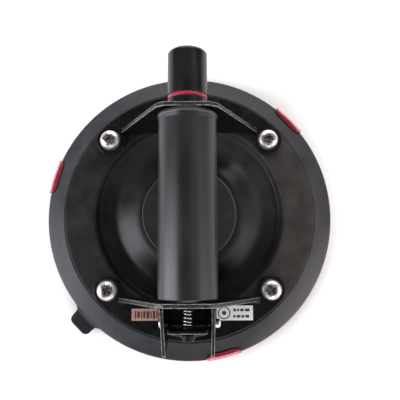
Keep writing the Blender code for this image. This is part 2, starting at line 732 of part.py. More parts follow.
def make_release_valve(black_metal, rubber, steel):
    """Release lever on its pin, and the valve stem that it pushes, with its nut and seal."""
    pivot = (0, PIVOT_Y, PIVOT_Z)
    half = LEVER_HALF_WIDTH
    middle_y = sum(LEVER_WEB_Y) / 2 - PIVOT_Y
    stations = [
        (middle_y, LEVER_TOP_Z - PIVOT_Z, half),
        (middle_y, 0.0055, half),
        (middle_y - 0.0004, 0.0034, half),
        (middle_y - 0.0017, 0.0012, half),
        (middle_y - 0.0037, -0.0012, half - 0.0019),
        (middle_y - 0.0055, -0.0038, 0.0056),
        (middle_y - 0.0068, -0.0065, 0.0042),
        (middle_y - 0.0076, -0.0095, 0.0040),
        (middle_y - 0.0081, -0.0130, 0.0040),
        (middle_y - 0.0084, -0.0165, 0.0040),
        (middle_y - 0.0085, -0.0196, 0.0034),
    ]
    lever = bent_strip("release_lever", stations, LEVER_SHEET, black_metal, pivot)
    web_y = LEVER_WEB_Y[1] - PIVOT_Y - 0.0003
    ear = [(web_y, 0.0140), (web_y + 0.0017, 0.0120)]
    ear += arc((0, 0), LEVER_EAR_RADIUS, 25, -150, 10)
    ear += [(web_y, 0.0030)]
    for name, low, high in (
        ("left_ear", -half, LEVER_SHEET - half),
        ("right_ear", half - LEVER_SHEET, half),
    ):
        boolean(lever, prism(name, ear, low, high, "YZ", black_metal, pivot), "UNION")
    drill(lever, PIN_RADIUS + GAP, -0.03, 0.03, pivot, black_metal, "X", 16)
    web_hole = (0, LEVER_WEB_Y[0], AXIS_Z)
    drill(lever, 0.0024, -0.01, 0.01, web_hole, black_metal, "Y", 16)
    pin = [(0, PIN_LEFT_X), (PIN_RADIUS, PIN_LEFT_X), (PIN_RADIUS, PIN_RIGHT_X), (0, PIN_RIGHT_X)]
    turned("lever_pin", pin, black_metal, "X", 16, pivot)
    face = CHEEK_OUTER_X + GAP
    button = [
        (0, -face),
        (0.0025, -face),
        (0.0025, -face - 0.0008),
        (0.0017, -face - 0.0014),
        (0, -face - 0.0014),
    ]
    turned("pin_cap_left", button, steel, "X", 16, pivot)
    nut_cap = [
        (PIN_RADIUS + GAP, face),
        (0.0027, face),
        (0.0027, face + 0.0024),
        (0.0018, face + 0.0032),
        (0, face + 0.0032),
        (0, face + 0.0024),
        (PIN_RADIUS + GAP, face + 0.0024),
    ]
    turned("pin_cap_right", nut_cap, steel, "X", 16, pivot)
    head_y = CAP_FACE_Y + 0.0021
    stem = [
        (0, -0.0787),
        (STEM_RADIUS, -0.0787),
        (STEM_RADIUS, COLLAR_Y[0]),
        (COLLAR_RADIUS, COLLAR_Y[0]),
        (COLLAR_RADIUS, COLLAR_Y[1]),
        (STEM_RADIUS, COLLAR_Y[1]),
        (STEM_RADIUS, head_y),
        (0.0032, head_y),
        (0.0032, head_y + 0.0010),
        (0, head_y + 0.0010),
    ]
    axis = (0, 0, AXIS_Z)
    turned("release_stem", stem, black_metal, "Y", 16, axis)
    nut_out, nut_in = STEM_NUT_Y
    nut = [
        (0, nut_out),
        (0.0026, nut_out),
        (0.0031, nut_out + 0.0010),
        (0.0035, nut_in - 0.0010),
        (0.0035, nut_in),
        (STEM_RADIUS + GAP, nut_in),
        (STEM_RADIUS + GAP, nut_out + 0.0009),
        (0, nut_out + 0.0009),
    ]
    turned("stem_nut", nut, black_metal, "Y", 16, axis)
    seal = [
        (STEM_RADIUS + GAP, CAP_FACE_Y + GAP),
        (0.0042, CAP_FACE_Y + GAP),
        (0.0042, head_y - GAP),
        (STEM_RADIUS + GAP, head_y - GAP),
    ]
    turned("release_seal", seal, rubber, "Y", 16, axis)


def make_labels(copper, foil):
    """Two thin plates on the front flange, one for a serial number and one for the rated load."""
    low = FLANGE_TOP_Z + GAP
    high = low + 0.0004
    prism("serial_plate", box_outline(-0.0391, -0.0209, -0.0725, -0.0645), low, high, "XY", copper)
    prism("load_label", box_outline(0.0183, 0.0430, -0.0725, -0.0626), low, high, "XY", foil)


def main():
    clear_scene()
    rubber = paint("black rubber", (0.030, 0.030, 0.033), 0.55)
    seal_rubber = paint("seal rubber", (0.020, 0.020, 0.021), 0.60)
    black_paint = paint("black painted steel", (0.014, 0.014, 0.015), 0.35)
    grip_plastic = paint("grip plastic", (0.035, 0.034, 0.037), 0.42)
    pump_plastic = paint("pump plastic", (0.022, 0.022, 0.024), 0.38)
    red_plastic = paint("red plastic", (0.55, 0.030, 0.035), 0.40)
    stainless = paint("stainless steel", (0.70, 0.68, 0.67), 0.22, 1.0)
    plain_steel = paint("zinc plated steel", (0.50, 0.50, 0.51), 0.40, 1.0)
    spring_steel = paint("spring steel", (0.62, 0.60, 0.57), 0.28, 1.0)
    aluminium = paint("aluminium", (0.66, 0.67, 0.68), 0.35, 1.0)
    brass = paint("brass", (0.62, 0.45, 0.18), 0.32, 1.0)
    felt = paint("filter felt", (0.60, 0.58, 0.52), 0.90)
    copper = paint("serial plate", (0.50, 0.27, 0.19), 0.45)
    foil = paint("load label", (0.66, 0.66, 0.65), 0.40)

    make_pad(rubber)
    make_backing_ring(plain_steel)
    make_hub(grip_plastic, brass, felt, seal_rubber)
    make_cover(red_plastic)
    make_bracket("rear_bracket", 1, PLUNGER_RADIUS + 0.0006, black_paint)
    make_bracket("front_bracket", -1, 0.0068, black_paint)
    make_cheeks(black_paint)
    make_fasteners(stainless)
    make_grip(grip_plastic)
    make_pump_body(aluminium, pump_plastic, black_paint, seal_rubber)
    make_plunger(pump_plastic, red_plastic, seal_rubber, aluminium)
    make_springs(spring_steel)
    make_hose(brass, seal_rubber, plain_steel)
    make_release_valve(black_paint, seal_rubber, stainless)
    make_labels(copper, foil)


main()
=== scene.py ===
import math

import bmesh
import bpy
from mathutils import Matrix, Vector


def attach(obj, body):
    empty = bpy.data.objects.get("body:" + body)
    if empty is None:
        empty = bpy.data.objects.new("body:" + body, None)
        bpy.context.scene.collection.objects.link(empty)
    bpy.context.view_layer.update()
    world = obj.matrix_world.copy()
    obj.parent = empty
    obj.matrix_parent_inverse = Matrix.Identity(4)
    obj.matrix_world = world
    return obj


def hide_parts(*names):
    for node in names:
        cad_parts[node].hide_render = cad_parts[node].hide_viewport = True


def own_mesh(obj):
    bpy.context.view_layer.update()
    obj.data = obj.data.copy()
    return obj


# Shapes are written in millimetres and scaled once, when a piece is finished.
MM = 0.001

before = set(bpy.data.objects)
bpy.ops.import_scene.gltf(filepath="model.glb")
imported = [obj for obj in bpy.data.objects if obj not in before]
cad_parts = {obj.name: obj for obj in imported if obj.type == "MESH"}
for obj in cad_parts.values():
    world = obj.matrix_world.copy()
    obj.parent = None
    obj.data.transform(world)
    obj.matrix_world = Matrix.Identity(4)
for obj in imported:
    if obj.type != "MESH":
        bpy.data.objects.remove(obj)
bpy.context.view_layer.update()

# Heights and places shared by several pieces, the same as the CAD model's
AXIS_Z = 64.0
GAP = 0.3
FLANGE_Z = 14.3
SHEET = 2.6
FLANGE_TOP = FLANGE_Z + SHEET
WASHER = 1.4
LABEL_TOP = FLANGE_TOP + GAP + 0.3
INK = 0.1
PLATE_OUTER_Y = 59.6
FLANGE_RADIUS = 86.5
SCREW_X = 55.7
SCREW_Y = 52.3
PIVOT = (0.0, -70.4, 54.0)
HOSE_Z = 22.0
PORT_Y = -38.0
PUMP_AXIS = (0, 0, AXIS_Z)

# The camera's turn about its line of sight, in degrees
CAMERA_ROLL = -0.25

# Segments round a turned piece
FINE = 224
MEDIUM = 128
SMALL = 64

# Where the values of a noise mostly lie, for wide and for narrow clouds
WIDE = (0.35, 0.7)
NARROW = (0.35, 0.65)


# ---------------------------------------------------------------- outlines

def arc(centre, radius, start, end, steps):
    """Points on a circular arc, angles in degrees, both ends included."""
    points = []
    for k in range(steps + 1):
        angle = math.radians(start + (end - start) * k / steps)
        points.append((centre[0] + radius * math.cos(angle), centre[1] + radius * math.sin(angle)))
    return points


def rounded(corners, steps=4):
    """A closed outline from (a, b) or (a, b, radius) corners, each radius turned into an arc."""
    outline = []
    count = len(corners)
    for k, corner in enumerate(corners):
        here = Vector(corner[:2])
        radius = corner[2] if len(corner) > 2 else 0.0
        if radius <= 0:
            outline.append(tuple(here))
            continue
        before = Vector(corners[k - 1][:2]) - here
        after = Vector(corners[(k + 1) % count][:2]) - here
        u, v = before.normalized(), after.normalized()
        half = math.acos(max(-1.0, min(1.0, u.dot(v)))) / 2
        if half > math.radians(88.5):
            outline.append(tuple(here))
            continue
        reach = min(radius / math.tan(half), before.length * 0.49, after.length * 0.49)
        radius = reach * math.tan(half)
        centre = here + (u + v).normalized() * (radius / math.sin(half))
        first, last = here + u * reach - centre, here + v * reach - centre
        turn = first.angle_signed(last)
        for s in range(steps + 1):
            offset = Matrix.Rotation(-turn * s / steps, 2) @ first
            outline.append(tuple(centre + offset))
    return outline


def mirrored(points):
    """The same points at the other side of a = 0, in reverse order."""
    return [(-p[0], *p[1:]) for p in reversed(points)]


def rectangle(a0, a1, b0, b1, radius=0.0):
    """Corners of a rectangle, each with the same radius."""
    return [(a0, b0, radius), (a1, b0, radius), (a1, b1, radius), (a0, b1, radius)]


def hexagon(across_flats, radius=0.0):
    """Corners of a hexagon about the origin."""
    size = across_flats / math.sqrt(3)
    return [(a, b, radius) for a, b in arc((0, 0), size, 0, 300, 5)]


# ---------------------------------------------------------------- solids

def turn_to(bm, axis):
    """Lays a body that was made along +Z along +Y or +X."""
    if axis == "Y":
        bmesh.ops.rotate(bm, verts=bm.verts, matrix=Matrix.Rotation(math.radians(-90), 3, "X"))
    elif axis == "X":
        bmesh.ops.rotate(bm, verts=bm.verts, matrix=Matrix.Rotation(math.radians(90), 3, "Y"))


def lathe(profile, axis="Z", place=(0, 0, 0), segments=MEDIUM):
    """A closed (radius, height) outline turned all the way round."""
    bm = bmesh.new()
    rings = []
    for radius, height in profile:
        if radius < 1e-6:
            rings.append([bm.verts.new((0, 0, height))] * segments)
            continue
        circle = arc((0, 0), radius, 0, 360 - 360 / segments, segments - 1)
        rings.append([bm.verts.new((x, y, height)) for x, y in circle])
    for ring, following in zip(rings, rings[1:] + rings[:1]):
        for k in range(segments):
            after = (k + 1) % segments
            corners = list(dict.fromkeys([ring[k], ring[after], following[after], following[k]]))
            if len(corners) > 2:
                bm.faces.new(corners)
    turn_to(bm, axis)
    bmesh.ops.translate(bm, verts=bm.verts, vec=place)
    return bm


def rod(radius, low, high, axis="Z", place=(0, 0, 0), segments=32):
    """A plain round bar, for cutting holes."""
    return lathe([(0, low), (radius, low), (radius, high), (0, high)], axis, place, segments)


def spun(bm, angle):
    """Turns a body about the Z axis, in degrees."""
    bmesh.ops.rotate(bm, verts=bm.verts, matrix=Matrix.Rotation(math.radians(angle), 3, "Z"))
    return bm


def band(bm, near, far):
    """Faces between two closed rings of vertices."""
    count = len(near)
    for k in range(count):
        after = (k + 1) % count
        bm.faces.new([near[k], near[after], far[after], far[k]])


def directions(points):
    """Direction of a path at each of its points."""
    last = len(points) - 1
    return [(points[min(k + 1, last)] - points[max(k - 1, 0)]).normalized() for k in range(last + 1)]


def tube(path, radius, sides, bore=0.0):
    """A round bar or hose along a 3-D path, its ends closed."""
    bm = bmesh.new()
    points = [Vector(p) for p in path]
    tangents = directions(points)
    normal = tangents[0].orthogonal().normalized()
    layers = [radius] + ([bore] if bore else [])
    sections = []
    for k, point in enumerate(points):
        if k:
            normal = tangents[k - 1].rotation_difference(tangents[k]) @ normal
            normal = (normal - tangents[k] * normal.dot(tangents[k])).normalized()
        across = tangents[k].cross(normal)
        section = []
        for size in layers:
            circle = arc((0, 0), size, 0, 360 - 360 / sides, sides - 1)
            section.append([bm.verts.new(point + normal * a + across * b) for a, b in circle])
        sections.append(section)
    for section, following in zip(sections, sections[1:]):
        for near, far in zip(section, following):
            band(bm, near, far)
    for section in (sections[0], sections[-1]):
        if bore:
            band(bm, *section)
        else:
            bm.faces.new(section[0])
    return bm


def linked(name, data):
    """A new object in the scene."""
    thing = bpy.data.objects.new(name, data)
    bpy.context.scene.collection.objects.link(thing)
    return thing


def evaluated(thing, *helpers):
    """The mesh that an object's curve or modifiers make, as a bmesh; the objects are removed."""
    graph = bpy.context.evaluated_depsgraph_get()
    mesh = bpy.data.meshes.new_from_object(thing.evaluated_get(graph))
    bm = bmesh.new()
    bm.from_mesh(mesh)
    for used in (thing, *helpers):
        bpy.data.objects.remove(used)
    bpy.data.meshes.remove(mesh)
    return bm


def sheet(outline, thickness, edge, holes=(), steps=3):
    """A flat plate in the XY plane, centred on Z = 0, with holes and rounded edges."""
    curve = bpy.data.curves.new("outline", "CURVE")
    curve.dimensions = "2D"
    curve.fill_mode = "BOTH"
    curve.extrude = thickness / 2 - edge
    curve.bevel_depth = edge
    curve.bevel_resolution = steps
    curve.offset = -edge
    for loop in (outline, *holes):
        spline = curve.splines.new("POLY")
        spline.points.add(len(loop) - 1)
        spline.use_cyclic_u = True
        for point, (a, b) in zip(spline.points, loop):
            point.co = (a, b, 0, 1)
    bm = evaluated(linked("outline", curve))
    bmesh.ops.remove_doubles(bm, verts=bm.verts, dist=1e-4)
    return bm


def stand(bm, plane, level=0.0):
    """Takes a flat plate from the XY plane to XZ or YZ, its middle at a level on the third axis."""
    for v in bm.verts:
        a, b, c = v.co
        spots = {"XY": (a, b, c + level), "XZ": (a, c + level, b), "YZ": (c + level, a, b)}
        v.co = spots[plane]
    return bm


def slab(outline, low, high, plane, edge, holes=(), steps=3):
    """A plate with rounded edges between two levels of its plane."""
    return stand(sheet(outline, high - low, edge, holes, steps), plane, (low + high) / 2)


def cut_across(bm, level):
    """An extra line of vertices across a flat plate, where it bends."""
    geometry = bm.verts[:] + bm.edges[:] + bm.faces[:]
    bmesh.ops.bisect_plane(bm, geom=geometry, plane_co=(0, level, 0), plane_no=(0, 1, 0))


def between(a, b, c, d, t):
    """A value on the smooth curve from b to c, with a before and d after them."""
    curve = 2 * a - 5 * b + 4 * c - d
    twist = 3 * b - a - 3 * c + d
    return 0.5 * (2 * b + (c - a) * t + curve * t * t + twist * t ** 3)


def bent(flat, path, steps=3):
    """Bends a flat plate along a (y, z) path: its second axis follows the path, X stays."""
    points = [Vector(path[0])]
    for k in range(1, len(path)):
        before, start, end = path[max(k - 2, 0)], path[k - 1], path[k]
        after = path[min(k + 1, len(path) - 1)]
        for s in range(1, steps + 1):
            t = s / steps
            points.append(Vector([between(*four, t) for four in zip(before, start, end, after)]))
    lengths = [0.0]
    for start, end in zip(points, points[1:]):
        lengths.append(lengths[-1] + (end - start).length)
    tangents = directions(points)
    for level in lengths[1:-1]:
        cut_across(flat, level)
    for v in flat.verts:
        x, s, t = v.co
        k = 0
        while k < len(lengths) - 2 and lengths[k + 1] < s:
            k += 1
        share = (s - lengths[k]) / (lengths[k + 1] - lengths[k])
        spot = points[k].lerp(points[k + 1], share) if 0 <= share <= 1 else (
            points[k] + (points[k + 1] - points[k]) * share)
        along = tangents[k].lerp(tangents[k + 1], min(max(share, 0), 1)).normalized()
        across = Vector((-along.y, along.x))
        v.co = (x, *(spot + across * t))
    return flat


def joined(*parts):
    """Several closed bodies in one mesh."""
    whole = bmesh.new()
    for part in parts:
        mesh = bpy.data.meshes.new("part")
        part.to_mesh(mesh)
        whole.from_mesh(mesh)
        part.free()
        bpy.data.meshes.remove(mesh)
    return whole


def as_object(bm, name):
    """A temporary object in millimetres."""
    bmesh.ops.recalc_face_normals(bm, faces=bm.faces)
    mesh = bpy.data.meshes.new(name)
    bm.to_mesh(mesh)
    bm.free()
    return linked(name, mesh)


def combined(base, operation, *tools):
    """Joins the tools to the base body, or cuts them from it, and gives the result as a bmesh."""
    target = as_object(base, "base")
    helpers = [as_object(tool, "tool") for tool in tools]
    for helper in helpers:
        modifier = target.modifiers.new("boolean", "BOOLEAN")
        modifier.operation = operation
        modifier.solver = "EXACT"
        modifier.object = helper
    return evaluated(target, *helpers)


def softened(bm, width, segments, angle):
    """Rounds the sharp edges of a body by a small bevel."""
    thing = as_object(bm, "soft")
    weld = thing.modifiers.new("weld", "WELD")
    weld.merge_threshold = 0.002
    bevel = thing.modifiers.new("bevel", "BEVEL")
    bevel.width = width
    bevel.segments = segments
    bevel.limit_method = "ANGLE"
    bevel.angle_limit = math.radians(angle)
    bevel.use_clamp_overlap = True
    return evaluated(thing)


def highlighted(bm, axis, test=lambda spot: True):
    """Marks the faces along a plate's rounded edges, so that they get the second material: a painted
    highlight.
    """
    bm.normal_update()
    for face in bm.faces:
        if 0.35 < abs(face.normal[axis]) < 0.90 and test(face.calc_center_median()):
            face.material_index = 1
    return bm


def piece(name, bm, materials, replaces, body="lifter", sharp=32.0):
    """Finishes a body as a piece: metres, normals, shading, materials, and the CAD body it rides."""
    bmesh.ops.recalc_face_normals(bm, faces=bm.faces)
    bmesh.ops.scale(bm, vec=(MM, MM, MM), verts=bm.verts)
    mesh = bpy.data.meshes.new(name)
    bm.to_mesh(mesh)
    bm.free()
    for material in materials if isinstance(materials, (list, tuple)) else [materials]:
        mesh.materials.append(material)
    mesh.shade_smooth()
    mesh.set_sharp_from_angle(angle=math.radians(sharp))
    thing = linked(name, mesh)
    weighted = thing.modifiers.new("weighted normals", "WEIGHTED_NORMAL")
    weighted.keep_sharp = True
    weighted.weight = 80
    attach(thing, body)
    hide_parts(*replaces)
    return thing


# ---------------------------------------------------------------- material nodes

class Surface:
    """A Principled material whose colour, roughness and relief come from procedural nodes."""

    def __init__(self, name, roughness=0.4, metallic=0.0, specular=0.5, coat=0.0, coat_roughness=0.1):
        self.material = bpy.data.materials.new(name)
        self.material.use_nodes = True
        self.tree = self.material.node_tree
        self.shader = self.tree.nodes["Principled BSDF"]
        self.shader.inputs["Roughness"].default_value = roughness
        self.shader.inputs["Metallic"].default_value = metallic
        self.shader.inputs["Specular IOR Level"].default_value = specular
        self.shader.inputs["Coat Weight"].default_value = coat
        self.shader.inputs["Coat Roughness"].default_value = coat_roughness
        self.place = self.node("TexCoord").outputs["Object"]
        self.relief = None

    def node(self, kind):
        return self.tree.nodes.new("ShaderNode" + kind)

    def link(self, output, target):
        self.tree.links.new(output, target)

    def stretched(self, scale):
        """Object coordinates in millimetres, scaled along each axis."""
        mapping = self.node("Mapping")
        mapping.inputs["Scale"].default_value = tuple(1000.0 * s for s in scale)
        self.link(self.place, mapping.inputs["Vector"])
        return mapping.outputs["Vector"]

    def axes(self, scale=(1, 1, 1)):
        """X, Y and Z in millimetres, each scaled."""
        split = self.node("SeparateXYZ")
        self.link(self.stretched(scale), split.inputs["Vector"])
        return split.outputs["X"], split.outputs["Y"], split.outputs["Z"]

    def noise(self, size, detail=3.0, stretch=(1, 1, 1)):
        """Noise whose features are about this many millimetres across."""
        noise = self.node("TexNoise")
        noise.inputs["Scale"].default_value = 1.0 / size
        noise.inputs["Detail"].default_value = detail
        self.link(self.stretched(stretch), noise.inputs["Vector"])
        return noise.outputs["Fac"]

    def math(self, operation, a, b=0.0):
        """One Math node; inputs may be sockets or numbers."""
        node = self.node("Math")
        node.operation = operation
        for slot, value in zip(node.inputs, (a, b)):
            if isinstance(value, (int, float)):
                slot.default_value = value
            else:
                self.link(value, slot)
        return node.outputs["Value"]

    def distance(self, a, b):
        """Length of the flat vector with these two parts."""
        return self.math("SQRT", self.math("ADD", self.math("MULTIPLY", a, a), self.math("MULTIPLY", b, b)))

    def radius(self):
        """Distance from the pad's axis, in millimetres."""
        x, y, _ = self.axes()
        return self.distance(x, y)

    def along(self, direction):
        """Distance from the pad's axis along a horizontal direction, in millimetres."""
        x, y, _ = self.axes((*direction, 1))
        return self.math("ADD", x, y)

    def spread(self, value, low, high, out_low, out_high):
        """A value mapped from one range to another, and kept inside it."""
        mapped = self.node("MapRange")
        for key, number in (("From Min", low), ("From Max", high), ("To Min", out_low), ("To Max", out_high)):
            mapped.inputs[key].default_value = number
        self.link(value, mapped.inputs["Value"])
        return mapped.outputs["Result"]

    def blended(self, factor, first, second):
        """A colour between two colours or colour sockets."""
        mix = self.node("Mix")
        mix.data_type = "RGBA"
        self.link(factor, mix.inputs[0])
        for slot, value in ((mix.inputs[6], first), (mix.inputs[7], second)):
            if isinstance(value, tuple):
                slot.default_value = (*value, 1.0)
            else:
                self.link(value, slot)
        return mix.outputs[2]

    def colour(self, socket):
        self.link(socket, self.shader.inputs["Base Color"])

    def rough(self, socket):
        self.link(socket, self.shader.inputs["Roughness"])

    def bump(self, height, distance):
        """Adds relief; distance is the height of the relief in millimetres."""
        bump = self.node("Bump")
        bump.inputs["Strength"].default_value = 1.0
        bump.inputs["Distance"].default_value = distance * MM
        self.link(height, bump.inputs["Height"])
        if self.relief is not None:
            self.link(self.relief, bump.inputs["Normal"])
        self.relief = bump.outputs["Normal"]
        self.link(self.relief, self.shader.inputs["Normal"])

    def mottled(self, dark, light, size, rough_low, rough_high, detail=4.0, stretch=(1, 1, 1)):
        """Cloudy change of colour and roughness between two states."""
        cloud = self.noise(size, detail, stretch)
        even = self.spread(cloud, *NARROW, 0.0, 1.0)
        self.colour(self.blended(even, dark, light))
        self.rough(self.spread(cloud, *NARROW, rough_low, rough_high))


def cloudy(name, dark, light, size, rough, relief, detail=5.0, grain=(0.3, 2.0), stretch=(1, 1, 1), **shader):
    """A material with one cloudy change of shade and one fine relief."""
    s = Surface(name, **shader)
    s.mottled(dark, light, size, *rough, detail, stretch)
    s.bump(s.noise(*grain), relief)
    return s.material


def pad_rubber():
    """Moulded rubber: rim mottled with dust, satin land, fine mould rings, groove and dome darker as painted
    shade.

    Its shades also change with the direction from the axis, as painted light and shade: the rim lighter at
    the right-front and left-front, darker at the front, back and right; the land lighter at the right; the
    dome lighter at the left. They are fixed to the pad, and don't follow the lights.
    """
    rim_edge, land_edge, mould_ring = (87.0, 87.7), (62.5, 66.5), 0.9
    s = Surface("pad rubber", specular=0.24)
    radius = s.radius()
    cloud = s.noise(14.0, 5.0)
    streak = s.noise(2.2, 4.0, (1, 0.35, 1))
    dust = s.spread(s.math("ADD", cloud, s.math("MULTIPLY", streak, 0.35)), 0.5, 0.85, 0.0, 1.0)
    rim = s.blended(dust, (0.026, 0.0250, 0.0285), (0.045, 0.0430, 0.0485))
    # Painted light and shade on the rim by direction: darker towards the front, back-right and back, lighter
    # towards the right-front and left-front.
    for direction, start, share, shade in (
        ((0.10, -0.99), 74.0, 1.00, (0.0090, 0.0084, 0.0100)),
        ((0.90, 0.44), 80.0, 0.35, (0.0130, 0.0125, 0.0130)),
        ((0.26, 0.97), 86.0, 0.40, (0.0130, 0.0125, 0.0130)),
        ((0.80, -0.60), 82.0, 1.00, (0.0820, 0.0780, 0.0735)),
        ((-0.80, -0.60), 86.0, 0.60, (0.0580, 0.0550, 0.0620)),
    ):
        rim = s.blended(s.spread(s.along(direction), start, 99.0, 0.0, share), rim, shade)
    tab = s.blended(dust, (0.0050, 0.0047, 0.0060), (0.0100, 0.0094, 0.0115))
    rim = s.blended(s.spread(radius, 101.0, 102.6, 0.0, 1.0), rim, tab)
    # Painted light and shade on the land: darker at the left, lighter towards the right.
    land_painted_shade = s.blended(dust, (0.0080, 0.0078, 0.0080), (0.0150, 0.0146, 0.0150))
    land_painted_light = s.blended(dust, (0.0260, 0.0228, 0.0215), (0.0430, 0.0380, 0.0355))
    land = s.blended(s.spread(s.along((1.0, 0.0)), 0.0, 70.0, 0.0, 1.0), land_painted_shade, land_painted_light)
    # Painted highlight on the dome's left side, painted shade on its right side.
    dome_painted_highlight = s.blended(dust, (0.0085, 0.0085, 0.0087), (0.0150, 0.0149, 0.0152))
    dome_painted_shade = s.blended(dust, (0.0050, 0.0050, 0.0052), (0.0090, 0.0089, 0.0090))
    dome = s.blended(s.spread(s.along((1.0, 0.0)), -46.0, 20.0, 0.0, 1.0), dome_painted_highlight, dome_painted_shade)
    # Painted shade: the groove under the handle made nearly black.
    groove = s.blended(dust, (0.0010, 0.0010, 0.0011), (0.0028, 0.0028, 0.0031))
    # The groove paler towards the back, a little to the right.
    paler_groove = s.blended(dust, (0.0190, 0.0190, 0.0208), (0.0310, 0.0306, 0.0336))
    toward_back_right = s.spread(s.along((0.25, 0.97)), -6.0, 42.0, 0.0, 1.0)
    # Painted shade: on the right the groove's dark colour reaches further in over the dome.
    rightward = s.spread(s.along((1.0, -0.25)), -20.0, 40.0, 0.0, 7.0)
    depth = s.spread(s.math("ADD", radius, rightward), 43.0, 52.0, 0.0, 1.0)
    bowl = s.blended(depth, dome, s.blended(toward_back_right, groove, paler_groove))
    at_rim = s.spread(radius, *rim_edge, 0.0, 1.0)
    at_land = s.spread(radius, *land_edge, 0.0, 1.0)
    s.colour(s.blended(at_rim, s.blended(at_land, bowl, land), rim))
    uneven = s.spread(cloud, *WIDE, -0.05, 0.08)
    base = s.math("ADD", s.spread(radius, 61.0, 66.0, 0.33, 0.42), s.spread(radius, *rim_edge, 0.0, 0.06))
    s.rough(s.math("ADD", base, uneven))
    s.bump(s.math("SINE", s.math("MULTIPLY", radius, 2 * math.pi / mould_ring)), 0.006)
    s.bump(s.noise(0.35, 2.0), 0.012)
    s.bump(s.noise(5.0, 3.0), 0.05)
    return s.material


def black_paint():
    """Powder coat: near black, fine orange peel, a few lighter rubs."""
    s = Surface("black paint", specular=0.22)
    rub = s.noise(6.0, 6.0, (1, 1, 2))
    rubbed = s.spread(rub, 0.45, 0.75, 0.0, 1.0)
    s.colour(s.blended(rubbed, (0.0022, 0.0021, 0.0024), (0.0072, 0.0070, 0.0072)))
    s.rough(s.spread(rub, *WIDE, 0.27, 0.42))
    s.bump(s.noise(0.55, 2.0), 0.018)
    s.bump(s.noise(0.16, 1.0), 0.006)
    return s.material


def grip_plastic():
    """Satin moulded handle: warm black, fine leather-like grain, a pale painted highlight along the rear lip.
    """
    s = Surface("grip plastic", specular=0.46)
    s.shader.inputs["Sheen Weight"].default_value = 0.05
    s.shader.inputs["Sheen Roughness"].default_value = 0.35
    wear = s.noise(16.0, 5.0, (1, 0.5, 1))
    handled = s.spread(wear, *WIDE, 0.0, 1.0)
    plain = s.blended(handled, (0.0060, 0.0058, 0.0066), (0.0105, 0.0102, 0.0112))
    # Painted highlight: a pale ring along the rear lip's crest, between these two limits.
    rearward = s.along((0.0, 1.0))
    before, behind = s.spread(rearward, 53.6, 54.1, 0.0, 1.0), s.spread(rearward, 54.6, 55.1, 1.0, 0.0)
    s.colour(s.blended(s.math("MULTIPLY", before, behind), plain, (0.0750, 0.0730, 0.0780)))
    s.rough(s.spread(wear, *WIDE, 0.30, 0.38))
    cells = s.node("TexVoronoi")
    cells.feature = "SMOOTH_F1"
    cells.inputs["Scale"].default_value = 1 / 0.6
    s.link(s.stretched((1, 1, 1)), cells.inputs["Vector"])
    s.bump(cells.outputs["Distance"], 0.010)
    s.bump(s.noise(0.2, 2.0), 0.005)
    return s.material


def hub_plastic():
    """Moulded disc of the hub: satin black, its rim line paler as a painted highlight."""
    s = Surface("hub plastic", specular=0.28)
    cloud = s.spread(s.noise(9.0, 5.0), *WIDE, 0.0, 1.0)
    flat = s.blended(cloud, (0.0150, 0.0145, 0.0150), (0.0260, 0.0250, 0.0250))
    # Painted highlight: a paler line round the disc's rim edge.
    s.colour(s.blended(s.spread(s.radius(), 31.9, 32.3, 0.0, 1.0), flat, (0.062, 0.061, 0.062)))
    s.rough(s.spread(s.noise(5.0, 4.0), *WIDE, 0.40, 0.50))
    s.bump(s.noise(0.3, 2.0), 0.006)
    return s.material


def red_plastic():
    """Red of the clips: inner side dark crimson as painted shade, top pale and grainy as a painted highlight,
    outer wall plain red.
    """
    s = Surface("red plastic", specular=0.5, coat=0.2, coat_roughness=0.25)
    cloud = s.spread(s.noise(1.4, 6.0), 0.38, 0.62, 0.0, 1.0)
    # Painted shade on the inner side and painted highlight over the top; the outer wall keeps the plain red.
    slope_painted_shade = s.blended(cloud, (0.150, 0.002, 0.020), (0.260, 0.010, 0.030))
    top_painted_highlight = s.blended(cloud, (0.480, 0.070, 0.095), (0.680, 0.250, 0.260))
    wall = s.blended(cloud, (0.300, 0.008, 0.018), (0.380, 0.020, 0.030))
    _, _, height = s.axes()
    side = s.blended(s.spread(height, 8.3, 9.3, 0.0, 1.0), wall, top_painted_highlight)
    s.colour(s.blended(s.spread(s.radius(), 98.9, 99.6, 0.0, 1.0), slope_painted_shade, side))
    s.rough(s.spread(cloud, 0.0, 1.0, 0.34, 0.48))
    s.bump(s.noise(0.5, 3.0), 0.030)
    return s.material


def bright_steel():
    """Bright stainless steel of the pin caps."""
    s = Surface("bright steel", metallic=1.0)
    spots = s.noise(1.3, 5.0)
    s.colour(s.blended(s.spread(spots, 0.35, 0.6, 0.0, 1.0), (0.50, 0.46, 0.46), (0.80, 0.76, 0.76)))
    s.rough(s.spread(spots, *NARROW, 0.30, 0.16))
    s.bump(s.noise(0.5, 3.0), 0.010)
    return s.material


def screw_steel():
    """Screw heads: pale satin edge, darker and grainy round the cross."""
    s = Surface("screw steel", metallic=0.85)
    x, y, _ = s.axes()
    across = s.math("SUBTRACT", s.math("ABSOLUTE", x), SCREW_X)
    along = s.math("SUBTRACT", s.math("ABSOLUTE", y), SCREW_Y)
    radius = s.distance(across, along)
    grain = s.spread(s.noise(0.9, 4.0), 0.38, 0.62, 0.0, 1.0)
    middle = s.blended(grain, (0.060, 0.048, 0.050), (0.330, 0.290, 0.290))
    edge = s.blended(grain, (0.640, 0.590, 0.590), (0.900, 0.850, 0.850))
    spot = s.math("ADD", radius, s.spread(s.noise(2.2, 3.0), 0.3, 0.7, -0.9, 0.9))
    s.colour(s.blended(s.spread(spot, 3.9, 5.0, 0.0, 1.0), middle, edge))
    s.rough(s.spread(radius, 3.5, 5.5, 0.30, 0.42))
    s.bump(s.noise(0.5, 3.0), 0.015)
    return s.material


